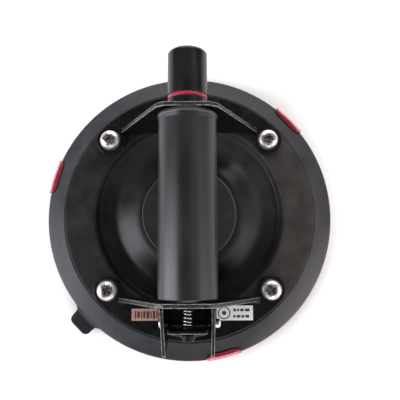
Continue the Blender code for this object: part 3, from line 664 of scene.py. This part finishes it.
def copper_film():
    """Copper-coloured label with a faint pink to tan shift."""
    s = Surface("copper film", specular=0.6)
    shift = s.noise(6.0, 2.0)
    tint = s.spread(shift, 0.40, 0.60, 0.0, 1.0)
    s.colour(s.blended(tint, (0.38, 0.20, 0.185), (0.44, 0.285, 0.175)))
    s.rough(s.spread(s.noise(1.0, 4.0), 0.3, 0.7, 0.35, 0.55))
    s.bump(s.noise(0.3, 2.0), 0.004)
    return s.material


def label_ink(name, shade):
    """Slightly uneven dark ink."""
    s = Surface(name, specular=0.3)
    s.mottled(shade, tuple(c * 2.2 for c in shade), 0.7, 0.45, 0.60, 3.0)
    return s.material


def floor_paper():
    """Plain pale floor."""
    s = Surface("pale floor", roughness=0.9, specular=0.1)
    s.colour(s.blended(s.noise(60.0, 2.0), (0.95, 0.95, 0.95), (0.97, 0.97, 0.97)))
    return s.material


def cloudy_materials():
    """The materials that need no more than a cloudy shade and a fine relief, by use."""
    metal = {"metallic": 1.0}
    return {
        # Painted highlight along the sheet's rounded edges: grey, a little shiny
        "edge": cloudy("worn paint edge", (0.085, 0.083, 0.086), (0.36, 0.35, 0.355), 2.6, (0.24, 0.36),
                       0.006, metallic=0.35),
        # Paint over the sheet's cut edge, thinner and greyer than on the faces
        "thin": cloudy("thin paint", (0.008, 0.008, 0.009), (0.036, 0.035, 0.037), 3.0, (0.30, 0.42), 0.010,
                       grain=(0.4, 2.0), specular=0.4),
        # Hard black plastic of the plunger, the front cap and the rear bush
        "pump": cloudy("pump plastic", (0.0016, 0.0016, 0.0018), (0.0036, 0.0035, 0.0038), 9.0, (0.22, 0.31),
                       0.006, grain=(0.25, 2.0), stretch=(1, 0.4, 1), specular=0.40),
        # Red of the cover's shell, darker than the clips as painted shade under the pad, satin
        "cover": cloudy("cover red", (0.11, 0.004, 0.008), (0.16, 0.008, 0.013), 7.0, (0.40, 0.52), 0.010,
                        grain=(0.4, 2.0), specular=0.35),
        # Deep red of the indicator ring
        "ring": cloudy("indicator red", (0.30, 0.012, 0.034), (0.40, 0.030, 0.060), 3.0, (0.24, 0.36),
                       0.006, 4.0),
        # Washers: grey and dull
        "dull": cloudy("dull steel", (0.018, 0.017, 0.018), (0.075, 0.070, 0.072), 2.5, (0.42, 0.60), 0.008,
                       metallic=0.6, specular=0.3),
        # Steel of the lever's pin, the valve stem and its nut: very dark, dull; on the pin between the cheeks
        # the dark is painted shade
        "blued": cloudy("blued steel", (0.0016, 0.0015, 0.0018), (0.0060, 0.0056, 0.0058), 2.0, (0.42, 0.55),
                        0.005, 4.0, (0.25, 2.0), specular=0.16),
        # Zinc-plated steel: spangled, a little dull
        "zinc": cloudy("zinc steel", (0.42, 0.42, 0.43), (0.60, 0.60, 0.60), 2.4, (0.30, 0.48), 0.006,
                       **metal),
        # Drawn spring wire
        "wire": cloudy("spring wire", (0.50, 0.49, 0.47), (0.72, 0.70, 0.66), 0.8, (0.18, 0.32), 0.003, 3.0,
                       (0.15, 2.0), (1, 4, 1), **metal),
        # Turned aluminium with fine rings along the pump
        "aluminium": cloudy("turned aluminium", (0.58, 0.59, 0.60), (0.70, 0.71, 0.72), 3.0, (0.28, 0.40),
                            0.006, 3.0, (0.3, 2.0, (0.1, 6, 0.1)), (1, 6, 1), **metal),
        # Turned brass with a slight tarnish
        "brass": cloudy("turned brass", (0.26, 0.18, 0.075), (0.50, 0.37, 0.17), 2.5, (0.28, 0.45), 0.005,
                        grain=(0.25, 2.0, (1, 1, 5)), **metal),
        # Matte black rubber of the hose and seals
        "seal": cloudy("seal rubber", (0.010, 0.010, 0.0105), (0.019, 0.0185, 0.018), 4.0, (0.48, 0.62),
                       0.008, grain=(0.25, 2.0), specular=0.4),
        # Pale pressed felt
        "felt": cloudy("filter felt", (0.42, 0.40, 0.34), (0.62, 0.60, 0.54), 0.4, (0.85, 0.95), 0.05, 4.0,
                       (0.2, 4.0), specular=0.2),
        # Silver-grey label
        "silver": cloudy("silver film", (0.90, 0.90, 0.90), (0.98, 0.98, 0.98), 1.2, (0.35, 0.50),
                         0.004, 4.0),
    }


# ---------------------------------------------------------------- pieces

def cut_screw_holes(bm, low, high):
    """Four round holes where the screws pass."""
    tools = []
    for x in (-SCREW_X, SCREW_X):
        for y in (-SCREW_Y, SCREW_Y):
            tools.append(rod(3.4, low, high, place=(x, y, 0)))
    return combined(bm, "DIFFERENCE", *tools)


def make_pad(rubber):
    """The rubber pad with its pull tab."""
    groove_radius, groove_z, dome_radius, dome_z = 53.5, 8.4, 33.05, 16.2
    bowl = []
    for k in range(25):
        share = k / 24
        height = groove_z + (dome_z - groove_z) * share * share * (3 - 2 * share)
        bowl.append((groove_radius + (dome_radius - groove_radius) * share, height))
    profile = rounded([
        (4.9, 10.5), (34.0, 10.5, 3.0), (47.0, 5.6, 3.0), (66.2, 5.6, 0.4), (66.2, 11.1, 0.3),
        (86.3, 11.1, 0.3), (86.3, 7.0, 0.8), (90.5, 5.6, 1.5), (92.5, 4.4, 0.5), (98.2, 4.4, 0.5),
        (100.5, 5.7, 0.9), (100.5, 7.8, 0.7), (99.5, 8.9, 1.2), (88.2, 13.25, 1.2), (87.6, 12.95, 0.25),
        (87.2, 12.95, 0.2), (87.0, 14.0, 0.55), (66.4, 14.0, 2.6), (63.4, 8.9, 2.4), (60.5, 8.4, 1.2),
        *bowl, (dome_radius, 14.6), (4.9, 14.6),
    ], steps=6)
    pad = lathe(profile, segments=FINE)
    half, root, tip, tab_angle = 8.2, 96.0, 110.4, 225
    rib, rib_pitch = (104.2, 105.1), 1.9
    side = [
        (root, half + 4.5), (100.2, half + 3.2, 2.0), (101.8, half + 0.6, 1.8), (tip, half, 3.8),
    ]
    outline = rounded(side + [(a, -b, *r) for a, b, *r in reversed(side)], steps=8)
    tab = slab(outline, 5.7, 8.5, "XY", 0.9, steps=4)
    ribs = []
    for k in range(3):
        plan = rectangle(rib[0] + rib_pitch * k, rib[1] + rib_pitch * k, -5.6, 5.6, 0.44)
        ribs.append(slab(rounded(plan, 5), 8.1, 8.95, "XY", 0.35))
    tab = spun(combined(tab, "UNION", *ribs), tab_angle)
    pad = combined(pad, "UNION", tab)
    pad = cut_screw_holes(pad, 0, 30)
    piece("pad_body", pad, rubber, ["suction_pad"], sharp=40)


def make_hub(plastic, brass):
    """Hub disc with its rim line, and the elbow that takes the air out."""
    disc = rounded([
        (4.9, 14.9), (32.9, 14.9, 0.2), (32.9, 16.7, 0.30), (32.2, 16.7, 0.2), (31.9, 16.5, 0.2),
        (28.0, 16.3, 1.0), (12.0, 16.5, 2.0), (10.2, 16.7, 0.4), (4.9, 16.7),
    ], steps=5)
    piece("hub_plate", lathe(disc, segments=FINE), plastic, ["hub_disc"])
    low = 17.0
    stem = lathe(rounded([
        (0, 24.0), (1.4, 24.0), (1.4, 9.6), (3.2, 9.6), (3.2, 6.6), (4.1, 6.6), (4.5, 7.0),
        (4.5, low + 0.4), (4.6, low + 2.4), (4.6, HOSE_Z + 3.3, 0.9), (3.6, HOSE_Z + 4.3, 0.8),
        (0, HOSE_Z + 4.3),
    ], steps=4), segments=SMALL)
    collar = slab(rounded(hexagon(12.1, 0.5), 3), low, low + 2.3, "XY", 0.35)
    barb = [(0, -2.8), (2.35, -2.8)]
    for k in range(4):
        start = -8.6 - 2.3 * k
        barb += [(2.35, start), (2.6, start - 0.15), (2.15, start - 1.9), (2.15, start - 2.0)]
    barb += [(2.2, -18.0), (0, -18.0)]
    branch = lathe(barb, "Y", (0, 0, HOSE_Z), 48)
    bore = rod(1.1, -19.0, 0, "Y", (0, 0, HOSE_Z), 24)
    elbow = combined(combined(stem, "UNION", collar, branch), "DIFFERENCE", bore)
    piece("hub_fitting", elbow, brass, ["hub_elbow"])


def make_hose(rubber, brass, steel):
    """Port fitting under the barrel, the hose down to the hub, and a screw clip at each end."""
    port = rounded([
        (1.2, 37.0), (2.2, 37.0), (2.6, 37.8), (2.3, 39.6), (2.6, 39.7), (2.3, 41.5), (2.6, 41.6),
        (2.5, 43.7), (4.6, 43.7, 0.4), (4.6, 45.9, 0.4), (3.0, 45.9), (3.0, 50.6), (1.2, 50.6),
    ], steps=3)
    piece("port_barb", lathe(port, place=(0, PORT_Y, 0), segments=48), brass,
          ["port_fitting"])
    top, bend = 43.4, 16.0
    path = [(0, PORT_Y, top - k * (top - HOSE_Z - bend) / 6) for k in range(7)]
    for y, z in arc((PORT_Y + bend, HOSE_Z + bend), bend, 180, 270, 28)[1:]:
        path.append((0, y, z))
    path += [(0, -22.0 + k * 14.6 / 10, HOSE_Z) for k in range(1, 11)]
    piece("hose", tube(path, 4.0, 40, 2.9), rubber, ["air_hose"])
    strip = rounded([(4.3, 0, 0.2), (5.0, 0, 0.3), (5.0, 3.0, 0.3), (4.3, 3.0, 0.2)], steps=3)
    for name, axis, place, node in (
        ("hose_band_upper", "Z", (0, PORT_Y, top - 4.5), "hose_clip_upper"),
        ("hose_band_lower", "Y", (0, -13.0, HOSE_Z), "hose_clip_lower"),
    ):
        ring = lathe(strip, axis, place, SMALL)
        piece(name, ring, steel, [node])


def make_cover(red, red_in_painted_shade):
    """The clip-on cover under the pad and its three clips."""
    shell = lathe(rounded([
        (0, 0.0), (60.0, 0.0), (60.6, 0.5, 0.3), (61.8, 0.5, 0.3), (62.4, 0.0), (101.1, 0.0, 0.3),
        (101.6, 0.5, 0.3), (101.6, 3.8, 0.35), (100.8, 3.8, 0.35), (100.8, 1.8, 0.6), (65.0, 1.8, 0.5),
        (65.0, 5.3, 0.5), (62.2, 5.3, 0.5), (62.2, 1.8, 0.5), (0, 1.8),
    ], steps=4), segments=FINE)
    # The shell's darker red is painted shade.
    piece("cover_shell", shell, red_in_painted_shade, ["pad_cover", "cover_rim", "cover_support"], "cover")
    clip = rounded([
        (100.75, 4.1), (101.7, 4.1), (101.7, 7.4, 1.6), (100.5, 10.9, 1.1), (99.2, 11.6, 0.9),
        (97.0, 11.0, 0.5), (96.7, 10.4, 0.3), (98.9, 9.6, 0.8), (100.75, 8.6, 0.8),
    ], steps=4)
    for number, angle in enumerate((43.7, 163.7, 283.7), start=1):
        arm = tapered_arm(clip, angle, 6.9, 40)
        piece(f"clip_{number}", arm, red, [f"cover_clip_{number}"], "cover", 50)


def tapered_arm(profile, middle, reach, steps):
    """A clip's outline swept round the pad; towards its ends its lip draws back and thins out."""
    lip_from, drawn_back, lowered = 8.5, 0.62, 0.10
    outer = max(r for r, z in profile)
    foot = min(z for r, z in profile)
    bm = bmesh.new()
    sections = []
    for k in range(steps + 1):
        side = 2 * k / steps - 1
        angle = math.radians(middle + reach * side)
        keep = 1 - drawn_back * abs(side) ** 6
        rise = 1 - lowered * abs(side) ** 6
        section = []
        for r, z in profile:
            drawn = outer - (outer - r) * (keep if z > lip_from else 1.0)
            height = foot + (z - foot) * (rise if z > lip_from else 1.0)
            section.append(bm.verts.new((drawn * math.cos(angle), drawn * math.sin(angle), height)))
        sections.append(section)
    for section, following in zip(sections, sections[1:]):
        band(bm, section, following)
    bm.faces.new(sections[0])
    bm.faces.new(sections[-1])
    return bm


def flange_outline():
    """Plan of a bracket's base, with its back edge inside the bend."""
    foot = FLANGE_RADIUS - math.hypot(SCREW_X, SCREW_Y)
    angle = math.degrees(math.atan2(SCREW_Y, SCREW_X))
    edge = arc((0, 0), FLANGE_RADIUS, angle, 180 - angle, 90)
    left = arc((-SCREW_X, SCREW_Y), foot, 180 - angle, 342, 40)
    back = [(-44.6, 56.5), (-44.6, 61.2), (44.6, 61.2), (44.6, 56.5)]
    return edge + left[1:] + back + mirrored(left)[:-1]


def bent_plate(hole_radius, direction):
    """The upright plate of a bracket, with the bend at its foot."""
    inside, height, half_foot = 2.5, 80.9, 48.2
    middle = inside + SHEET / 2
    bend = middle * math.pi / 2
    straight_z = FLANGE_TOP + inside
    top = bend + height - straight_z
    half = 16.8
    right = [
        (half_foot, 0.0), (half_foot, bend + 0.6, 2.5), (half + 1.6, top - 3.4, 5.0), (half - 3.4, top, 5.0),
    ]
    outline = rounded(right + mirrored(right), steps=10)
    hole = arc((0, bend + AXIS_Z - straight_z), hole_radius, 0, 355, 71)
    flat = sheet(outline, SHEET, 0.55, [hole], 4)
    for k in range(1, 10):
        cut_across(flat, bend * k / 9)
    for v in flat.verts:
        x, s, t = v.co
        radius = middle - t
        turn = min(max(s / middle, 0.0), math.pi / 2)
        y = PLATE_OUTER_Y + inside - radius * math.sin(turn)
        z = straight_z - radius * math.cos(turn)
        z += max(s - bend, 0.0)
        v.co = (x, direction * y, z)
    return flat


def make_bracket(name, direction, hole_radius, paints, nodes):
    """A pressed bracket: base flange with round feet, bend, and upright plate."""
    round_hole, cut_edge_z = 14, 77
    holes = [arc((x, SCREW_Y), 3.3, 0, 350, 35) for x in (-SCREW_X, SCREW_X)]
    base = slab(flange_outline(), FLANGE_Z, FLANGE_TOP, "XY", 0.7, holes, 4)
    for v in base.verts:
        v.co.y *= direction
    whole = combined(base, "UNION", bent_plate(hole_radius, direction))

    def off_hole(spot):
        return math.hypot(spot.x, spot.z - AXIS_Z) > round_hole

    # Painted highlight along the upright plate's rounded edges, above the flange and clear of the round hole.
    highlighted(whole, 1, lambda spot: spot.z > FLANGE_TOP + 3.5 and off_hole(spot))
    for face in whole.faces:
        spot = face.calc_center_median()
        if abs(face.normal.y) < 0.3 and spot.z > cut_edge_z and off_hole(spot):
            face.material_index = 2
    piece(name, whole, paints, nodes, sharp=40)


def make_cheeks(paint):
    """Side cheeks of the release lever, with rounded edges."""
    back, foot = -59.9, 17.2
    outline = rounded([
        (back, foot, 0.4), (back, 71.9, 1.2), (-61.9, 72.2, 2.0), (-90.5, 49.2, 4.0), (-92.5, 44.0, 6.0),
        (-84.0, 19.5, 1.5), (-83.5, foot, 0.4),
    ], steps=6)
    hole = arc((PIVOT[1], PIVOT[2]), 1.9, 0, 350, 35)
    for name, low, high, node in (
        ("cheek_left", -16.1, -14.0, "left_cheek"),
        ("cheek_right", 14.0, 16.1, "right_cheek"),
    ):
        # Painted highlight along the cheek's rounded edges.
        cheek = highlighted(slab(outline, low, high, "YZ", 0.55, [hole], 3), 0)
        piece(name, cheek, paint, [node], sharp=40)


def screw_body():
    """A pan-head machine screw with a cross recess, standing on Z = 0 of the frame."""
    washer_top = FLANGE_TOP + GAP + WASHER
    head = washer_top + GAP
    shape = [(0, 6.2), (2.4, 6.2), (3.0, 6.8)]
    for k in range(9):
        start = 7.2 + 1.0 * k
        shape += [(3.0, start), (2.55, start + 0.45), (3.0, start + 0.9)]
    shape += [(3.0, head), (6.7, head, 0.3), (6.7, head + 1.5, 0.7), (5.9, head + 3.1, 1.6),
              (3.4, head + 4.25, 3.0), (0, head + 4.5)]
    body = lathe(rounded(shape, steps=5), segments=SMALL)
    arms = []
    for turn in (0, 90):
        deep, shallow, half = head + 1.7, head + 5.0, 0.62
        outline = [(-1.35, deep), (1.35, deep), (3.35, shallow), (-3.35, shallow)]
        arms.append(spun(slab(outline, -half, half, "XZ", 0.05, steps=1), turn))
    heart = lathe([(0, head + 1.2), (0.9, head + 1.7), (1.6, head + 5.0), (0, head + 5.0)], segments=24)
    body = combined(body, "DIFFERENCE", combined(arms[0], "UNION", arms[1], heart))
    return softened(body, 0.12, 2, 40)


def make_screws(steel, dull):
    """Four screws, each turned its own way, and their washers."""
    low = FLANGE_TOP + GAP
    high = low + WASHER
    ring = rounded([(3.3, low), (7.5, low, 0.3), (7.5, high, 0.5), (3.3, high)], steps=4)
    spots = [
        (-SCREW_X, SCREW_Y, 14), (SCREW_X, SCREW_Y, -6), (SCREW_X, -SCREW_Y, 31), (-SCREW_X, -SCREW_Y, 66),
    ]
    pattern = screw_body()
    for number, (x, y, turn) in enumerate(spots, start=1):
        body = spun(pattern.copy(), turn)
        bmesh.ops.translate(body, verts=body.verts, vec=(x, y, 0))
        piece(f"bolt_{number}", body, steel, [f"screw_{number}"])
        washer = lathe(ring, place=(x, y, 0), segments=SMALL)
        piece(f"bolt_washer_{number}", washer, dull, [f"washer_{number}"])
    pattern.free()


def make_grip(plastic):
    """The handle grip: plain at the front, with a slight lip at the plunger's end."""
    outer, lip, bore, end = 17.85, 18.4, 15.2, 56.4
    shape = rounded([
        (bore, -end, 0.3), (outer - 0.9, -end, 0.5), (outer, -end + 1.3, 0.9), (outer, end - 5.0, 3.0),
        (lip, end - 2.2, 0.8), (lip, end - 0.5, 0.35), (lip - 0.5, end, 0.3), (bore, end, 0.3),
    ], steps=6)
    grip = lathe(shape, "Y", PUMP_AXIS, FINE)
    hole = rod(3.5, 30, AXIS_Z, place=(0, PORT_Y, 0), segments=48)
    grip = combined(grip, "DIFFERENCE", hole)
    piece("grip", grip, plastic, ["handle_grip"], sharp=40)


def make_pump(plastic, red, rubber):
    """Plunger with its ring, and the wiper it slides through."""
    outer, end, ring_y, half = 12.3, 97.0, 66.6, 1.4
    plunger = lathe(rounded([
        (9.8, 14.8), (outer, 14.8, 0.4), (outer, ring_y - half, 0.25), (11.2, ring_y - half),
        (11.2, ring_y + half), (outer, ring_y + half, 0.25), (outer, end - 1.9, 1.2),
        (outer - 1.2, end - 0.4, 1.2), (outer - 3.6, end, 2.0), (0, end), (0, end - 4.5),
        (9.8, end - 4.5, 1.0),
    ], steps=7), "Y", PUMP_AXIS, MEDIUM)
    piece("plunger_body", plunger, plastic, ["plunger"], "plunger")
    ring = lathe(rounded([
        (11.5, ring_y - 1.1), (outer - 0.05, ring_y - 1.1, 0.4), (outer - 0.05, ring_y + 1.1, 0.4),
        (11.5, ring_y + 1.1),
    ], steps=5), "Y", PUMP_AXIS, MEDIUM)
    piece("indicator_band", ring, red, ["indicator_ring"], "plunger")
    wiper = lathe(rounded([
        (13.1, 55.0), (14.5, 55.0, 0.3), (14.5, 56.6, 0.4), (12.7, 56.6, 0.15), (12.7, 56.2, 0.15),
    ], steps=3), "Y", PUMP_AXIS, SMALL)
    piece("wiper", wiper, rubber, ["wiper_seal"])


def make_cap(plastic, paint):
    """Front cap whose neck passes the front plate, and the ring nut that holds it."""
    cap = lathe(rounded([
        (2.0, -61.0, 0.3), (6.5, -61.0, 0.5), (6.5, -56.6), (14.9, -56.6, 0.3), (14.9, -52.8),
        (12.8, -52.8), (12.8, -50.2), (11.2, -50.2), (11.2, -47.8), (12.8, -47.8), (12.8, -43.7, 0.5),
        (2.0, -43.7),
    ], steps=4), "Y", PUMP_AXIS, SMALL)
    piece("cap", cap, plastic, ["front_cap"])
    corners = [(a, b + AXIS_Z) for a, b in rounded(hexagon(16.5, 0.6), 4)]
    hole = arc((0, AXIS_Z), 6.8, 0, 354, 59)
    nut = slab(corners, -61.2, -59.9, "XZ", 0.3, [hole])
    piece("cap_nut", nut, paint, ["cap_ring_nut"])


def helix(radius, start, end, turns, per_turn=28):
    """Points of a coil along Y, its end turns closer together."""
    even = 0.62
    points = []
    steps = int(turns * per_turn)
    for k in range(steps + 1):
        share = k / steps
        eased = even * share + (1 - even) * (share * share * (3 - 2 * share))
        angle = 2 * math.pi * turns * share
        x, z = radius * math.cos(angle), AXIS_Z + radius * math.sin(angle)
        points.append((x, start + (end - start) * eased, z))
    return points


def spring(name, coil, wire, node):
    """A coil spring as a piece, with a mesh of its own."""
    thing = piece(name, coil, wire, [node])
    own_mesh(thing)


def make_springs(wire):
    """Release spring on the stem and the plunger's return spring inside the barrel."""
    seat, free_end = -61.2, -70.3
    small = tube(helix(2.7, free_end, -61.7, 4.6), 0.42, 14)
    spring("valve_spring", small, wire, "release_spring")
    seat, free_end = -42.6, 4.9
    large = tube(helix(10.9, seat, free_end, 9), 0.7, 12)
    spring("plunger_spring", large, wire, "return_spring")


def make_lever(paint, edge, blued, steel):
    """Release lever, its pin with end caps, the valve stem and the stem nut."""
    _, y0, z0 = PIVOT
    half, thick = 11.7, 1.8
    path = [
        (-74.1, 69.5), (-74.1, 66.0), (-74.1, 62.5), (-74.1, 59.5), (-74.5, 57.4), (-75.8, 55.2),
        (-77.8, 52.8), (-79.6, 50.2), (-80.9, 47.5), (-81.7, 44.5), (-82.2, 41.0), (-82.5, 37.5),
        (-82.6, 34.4),
    ]
    right = [
        (half, 0.0, 1.2), (half, 14.4, 1.6), (10.2, 16.6, 1.8), (4.6, 18.2, 3.6), (3.3, 22.5, 4.0),
        (3.3, 37.0), (3.3, 39.6, 2.4),
    ]
    web = bent(sheet(rounded(right + mirrored(right), 6), thick, 0.5, steps=3), path)
    ears = []
    for low, high in ((-half, thick - half), (half - thick, half)):
        ear = [(y0 - 3.1, z0 + 14.6, 0.6), (y0 - 1.6, z0 + 12.2, 1.5)]
        ear += [(y0 + a, z0 + b) for a, b in arc((0, 0), 3.4, 25, -150, 20)] + [(y0 - 3.1, z0 + 3.0)]
        ears.append(slab(rounded(ear, 4), low, high, "YZ", 0.35, steps=2))
    lever = combined(web, "UNION", *ears)
    holes = [rod(1.9, -30, 30, "X", PIVOT), rod(2.4, -80, -70, "Y", PUMP_AXIS, 40)]
    lever = combined(lever, "DIFFERENCE", *holes)
    # Painted highlight along the lever's top front edge.
    highlighted(lever, 1, lambda spot: spot.z > 68.6 and spot.y < -74.4)
    piece("lever", lever, [paint, edge], ["release_lever"], "lever", 40)
    pin = lathe(rounded([(0, -16.2), (1.6, -16.2, 0.3), (1.6, 18.2, 0.3), (0, 18.2)], 3), "X", PIVOT, 32)
    piece("pivot_pin", pin, blued, ["lever_pin"])
    button = rounded([
        (0, -16.4), (2.5, -16.4, 0.2), (2.5, -17.2, 0.5), (1.7, -17.8, 0.6), (0, -17.8),
    ], steps=4)
    piece("pin_end_left", lathe(button, "X", PIVOT, 40), steel, ["pin_cap_left"])
    nut_cap = rounded([
        (1.9, 16.4), (2.7, 16.4, 0.2), (2.7, 18.6, 0.7), (1.8, 19.6, 0.7), (0, 19.6), (0, 18.8), (1.9, 18.8),
    ], steps=4)
    piece("pin_end_right", lathe(nut_cap, "X", PIVOT, 40), steel, ["pin_cap_right"])
    stem = lathe(rounded([
        (0, -78.7), (1.5, -78.7), (1.5, -72.4), (3.4, -72.4, 0.25), (3.4, -71.2, 0.25), (1.5, -71.2),
        (1.5, -41.6), (3.2, -41.6, 0.2), (3.2, -40.6, 0.2), (0, -40.6),
    ], steps=3), "Y", PUMP_AXIS, 40)
    piece("stem", stem, blued, ["release_stem"], "valve_stem")
    nut = lathe(rounded([
        (0, -80.0), (2.5, -80.0, 0.6), (3.2, -78.9, 0.5), (3.5, -76.8, 0.3), (3.5, -75.8, 0.3), (1.8, -75.8),
        (1.8, -79.1), (0, -79.1),
    ], steps=4), "Y", PUMP_AXIS, 40)
    piece("stem_cap", nut, blued, ["stem_nut"], "valve_stem")


def mark(outline, holes=()):
    """A flat printed mark on a label."""
    return slab(outline, LABEL_TOP, LABEL_TOP + INK, "XY", 0.03, holes, steps=0)


def make_labels(copper, silver, dark, brown):
    """Two label plates. Their marks are plain bars and a ring, and say nothing."""
    low = FLANGE_TOP + GAP
    x0, x1, y0, y1 = -39.1, -20.9, -72.5, -64.5
    plate = slab(rounded(rectangle(x0, x1, y0, y1, 0.5)), low, LABEL_TOP, "XY", 0.1)
    marks = []
    left = x0 + 2.2
    for k, width in enumerate((0.9, 1.7, 0.8, 1.5, 1.9, 0.8, 1.6, 0.9)):
        bottom, top = y0 + 1.4 + 0.3 * (k % 2), y1 - 1.5 - 0.2 * (k % 3)
        marks.append(mark(rounded(rectangle(left, left + width, bottom, top, 0.2), 2)))
        left += width + 0.75
    label("serial_label", plate, marks, copper, brown, "serial_plate")
    x0, x1, y0, y1 = 18.3, 43.0, -72.5, -62.6
    plate = slab(rounded(rectangle(x0, x1, y0, y1, 0.5)), low, LABEL_TOP, "XY", 0.1)
    centre = (x0 + 5.2, (y0 + y1) / 2)
    ring = mark(arc(centre, 4.2, 0, 354, 59), [arc(centre, 3.5, 0, 354, 59)])
    marks = [ring, mark(arc(centre, 1.4, 0, 348, 29))]
    for row, widths in enumerate(((1.9, 1.2, 2.4, 3.2), (1.4, 2.6, 1.7, 2.6))):
        left = x0 + 11.4
        for width in widths:
            bottom = y1 - 3.9 - 4.2 * row
            marks.append(mark(rounded(rectangle(left, left + width, bottom, bottom + 1.7, 0.3), 2)))
            left += width + 0.8
    label("rating_label", plate, marks, silver, dark, "load_label")


def label(name, plate, marks, film, ink, node):
    """A label plate with its printed marks as a second material."""
    printed = joined(*marks)
    count = len(plate.faces)
    whole = joined(plate, printed)
    whole.faces.ensure_lookup_table()
    for face in whole.faces[count:]:
        face.material_index = 1
    piece(name, whole, [film, ink], [node])


def paint_hidden_nodes(paints):
    """Gives the CAD nodes that stay their material."""
    for material, names in paints:
        for name in names:
            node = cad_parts[name]
            node.data.materials.clear()
            node.data.materials.append(material)


def make_stage(paper):
    """Plain pale floor."""
    bm = bmesh.new()
    bmesh.ops.create_grid(bm, x_segments=8, y_segments=8, size=4.0)
    mesh = bpy.data.meshes.new("floor")
    bm.to_mesh(mesh)
    bm.free()
    mesh.materials.append(paper)
    linked("floor", mesh)


def area_light(name, place, target, size, watts, colour):
    """A soft rectangular light aimed at a point, not seen itself."""
    lamp = bpy.data.lights.new(name, "AREA")
    lamp.shape = "RECTANGLE"
    lamp.size, lamp.size_y = size
    lamp.energy = watts
    lamp.color = colour
    thing = linked(name, lamp)
    thing.location = place
    thing.rotation_euler = (Vector(target) - Vector(place)).to_track_quat("-Z", "Y").to_euler()
    thing.visible_camera = False


def make_lights():
    """Soft studio light: a bluish key at the left, boxes behind and in front, weaker ones at the right."""
    aim = (0, 0, 0.02)
    area_light("key", (-0.97, -0.24, 0.42), aim, (0.66, 1.25), 18.0, (0.92, 0.93, 1.0))
    area_light("fill", (1.00, -0.40, 0.46), aim, (0.60, 0.80), 5.0, (1.0, 0.97, 0.94))
    area_light("high", (0.52, 0.12, 0.80), aim, (0.50, 0.80), 0.7, (1.0, 0.96, 0.93))
    area_light("side", (1.05, 0.10, 0.40), aim, (0.50, 1.20), 1.5, (1.0, 0.98, 0.97))
    area_light("back", (0.15, 1.00, 0.62), aim, (1.40, 0.60), 12.0, (1.0, 0.99, 0.98))
    area_light("front", (0.20, -1.00, 0.60), aim, (0.90, 0.50), 6.5, (1.0, 0.98, 0.97))
    world = bpy.data.worlds.new("studio")
    world.use_nodes = True
    world.node_tree.nodes["Background"].inputs["Color"].default_value = (0.95, 0.96, 1.0, 1.0)
    world.node_tree.nodes["Background"].inputs["Strength"].default_value = 0.21
    bpy.context.scene.world = world


def make_camera():
    """Camera almost straight above, a little towards the lever's side."""
    data = bpy.data.cameras.new("camera")
    data.lens = 45.16
    data.sensor_width = 36.0
    data.clip_start, data.clip_end = 0.01, 20.0
    camera = linked("camera", data)
    camera.location = (0.0075, -0.0369, 0.3641)
    target = Vector((0.0075, 0.01194, 0.0))
    aim = (target - camera.location).to_track_quat("-Z", "Y").to_matrix()
    camera.rotation_euler = (aim @ Matrix.Rotation(math.radians(CAMERA_ROLL), 3, "Z")).to_euler()
    bpy.context.scene.camera = camera


def main():
    made = cloudy_materials()
    paint, steel, seal, wire, brass = black_paint(), bright_steel(), made["seal"], made["wire"], made["brass"]
    bracket_paints = [paint, made["edge"], made["thin"]]

    make_pad(pad_rubber())
    make_hub(hub_plastic(), brass)
    make_hose(seal, brass, made["zinc"])
    make_cover(red_plastic(), made["cover"])
    make_bracket("bracket_rear", 1, 12.9, bracket_paints, ["rear_bracket"])
    make_bracket("bracket_front", -1, 6.8, bracket_paints, ["front_bracket"])
    make_cheeks([paint, made["edge"]])
    make_screws(screw_steel(), made["dull"])
    make_grip(grip_plastic())
    make_pump(made["pump"], made["ring"], seal)
    make_cap(made["pump"], paint)
    make_springs(wire)
    make_lever(paint, made["edge"], made["blued"], steel)
    make_labels(copper_film(), made["silver"], label_ink("dark ink", (0.030, 0.030, 0.033)),
                label_ink("brown ink", (0.05, 0.018, 0.016)))
    paint_hidden_nodes([
        (made["zinc"], ["backing_ring"]),
        (brass, ["hub_nut"]),
        (made["felt"], ["air_filter"]),
        (made["aluminium"], ["pump_barrel", "piston"]),
        (seal, ["cap_o_ring", "piston_seal", "check_valve", "release_seal"]),
        (made["pump"], ["rear_bush"]),
    ])
    make_stage(floor_paper())
    make_lights()
    make_camera()
    bpy.context.scene.view_settings.view_transform = "Standard"


main()
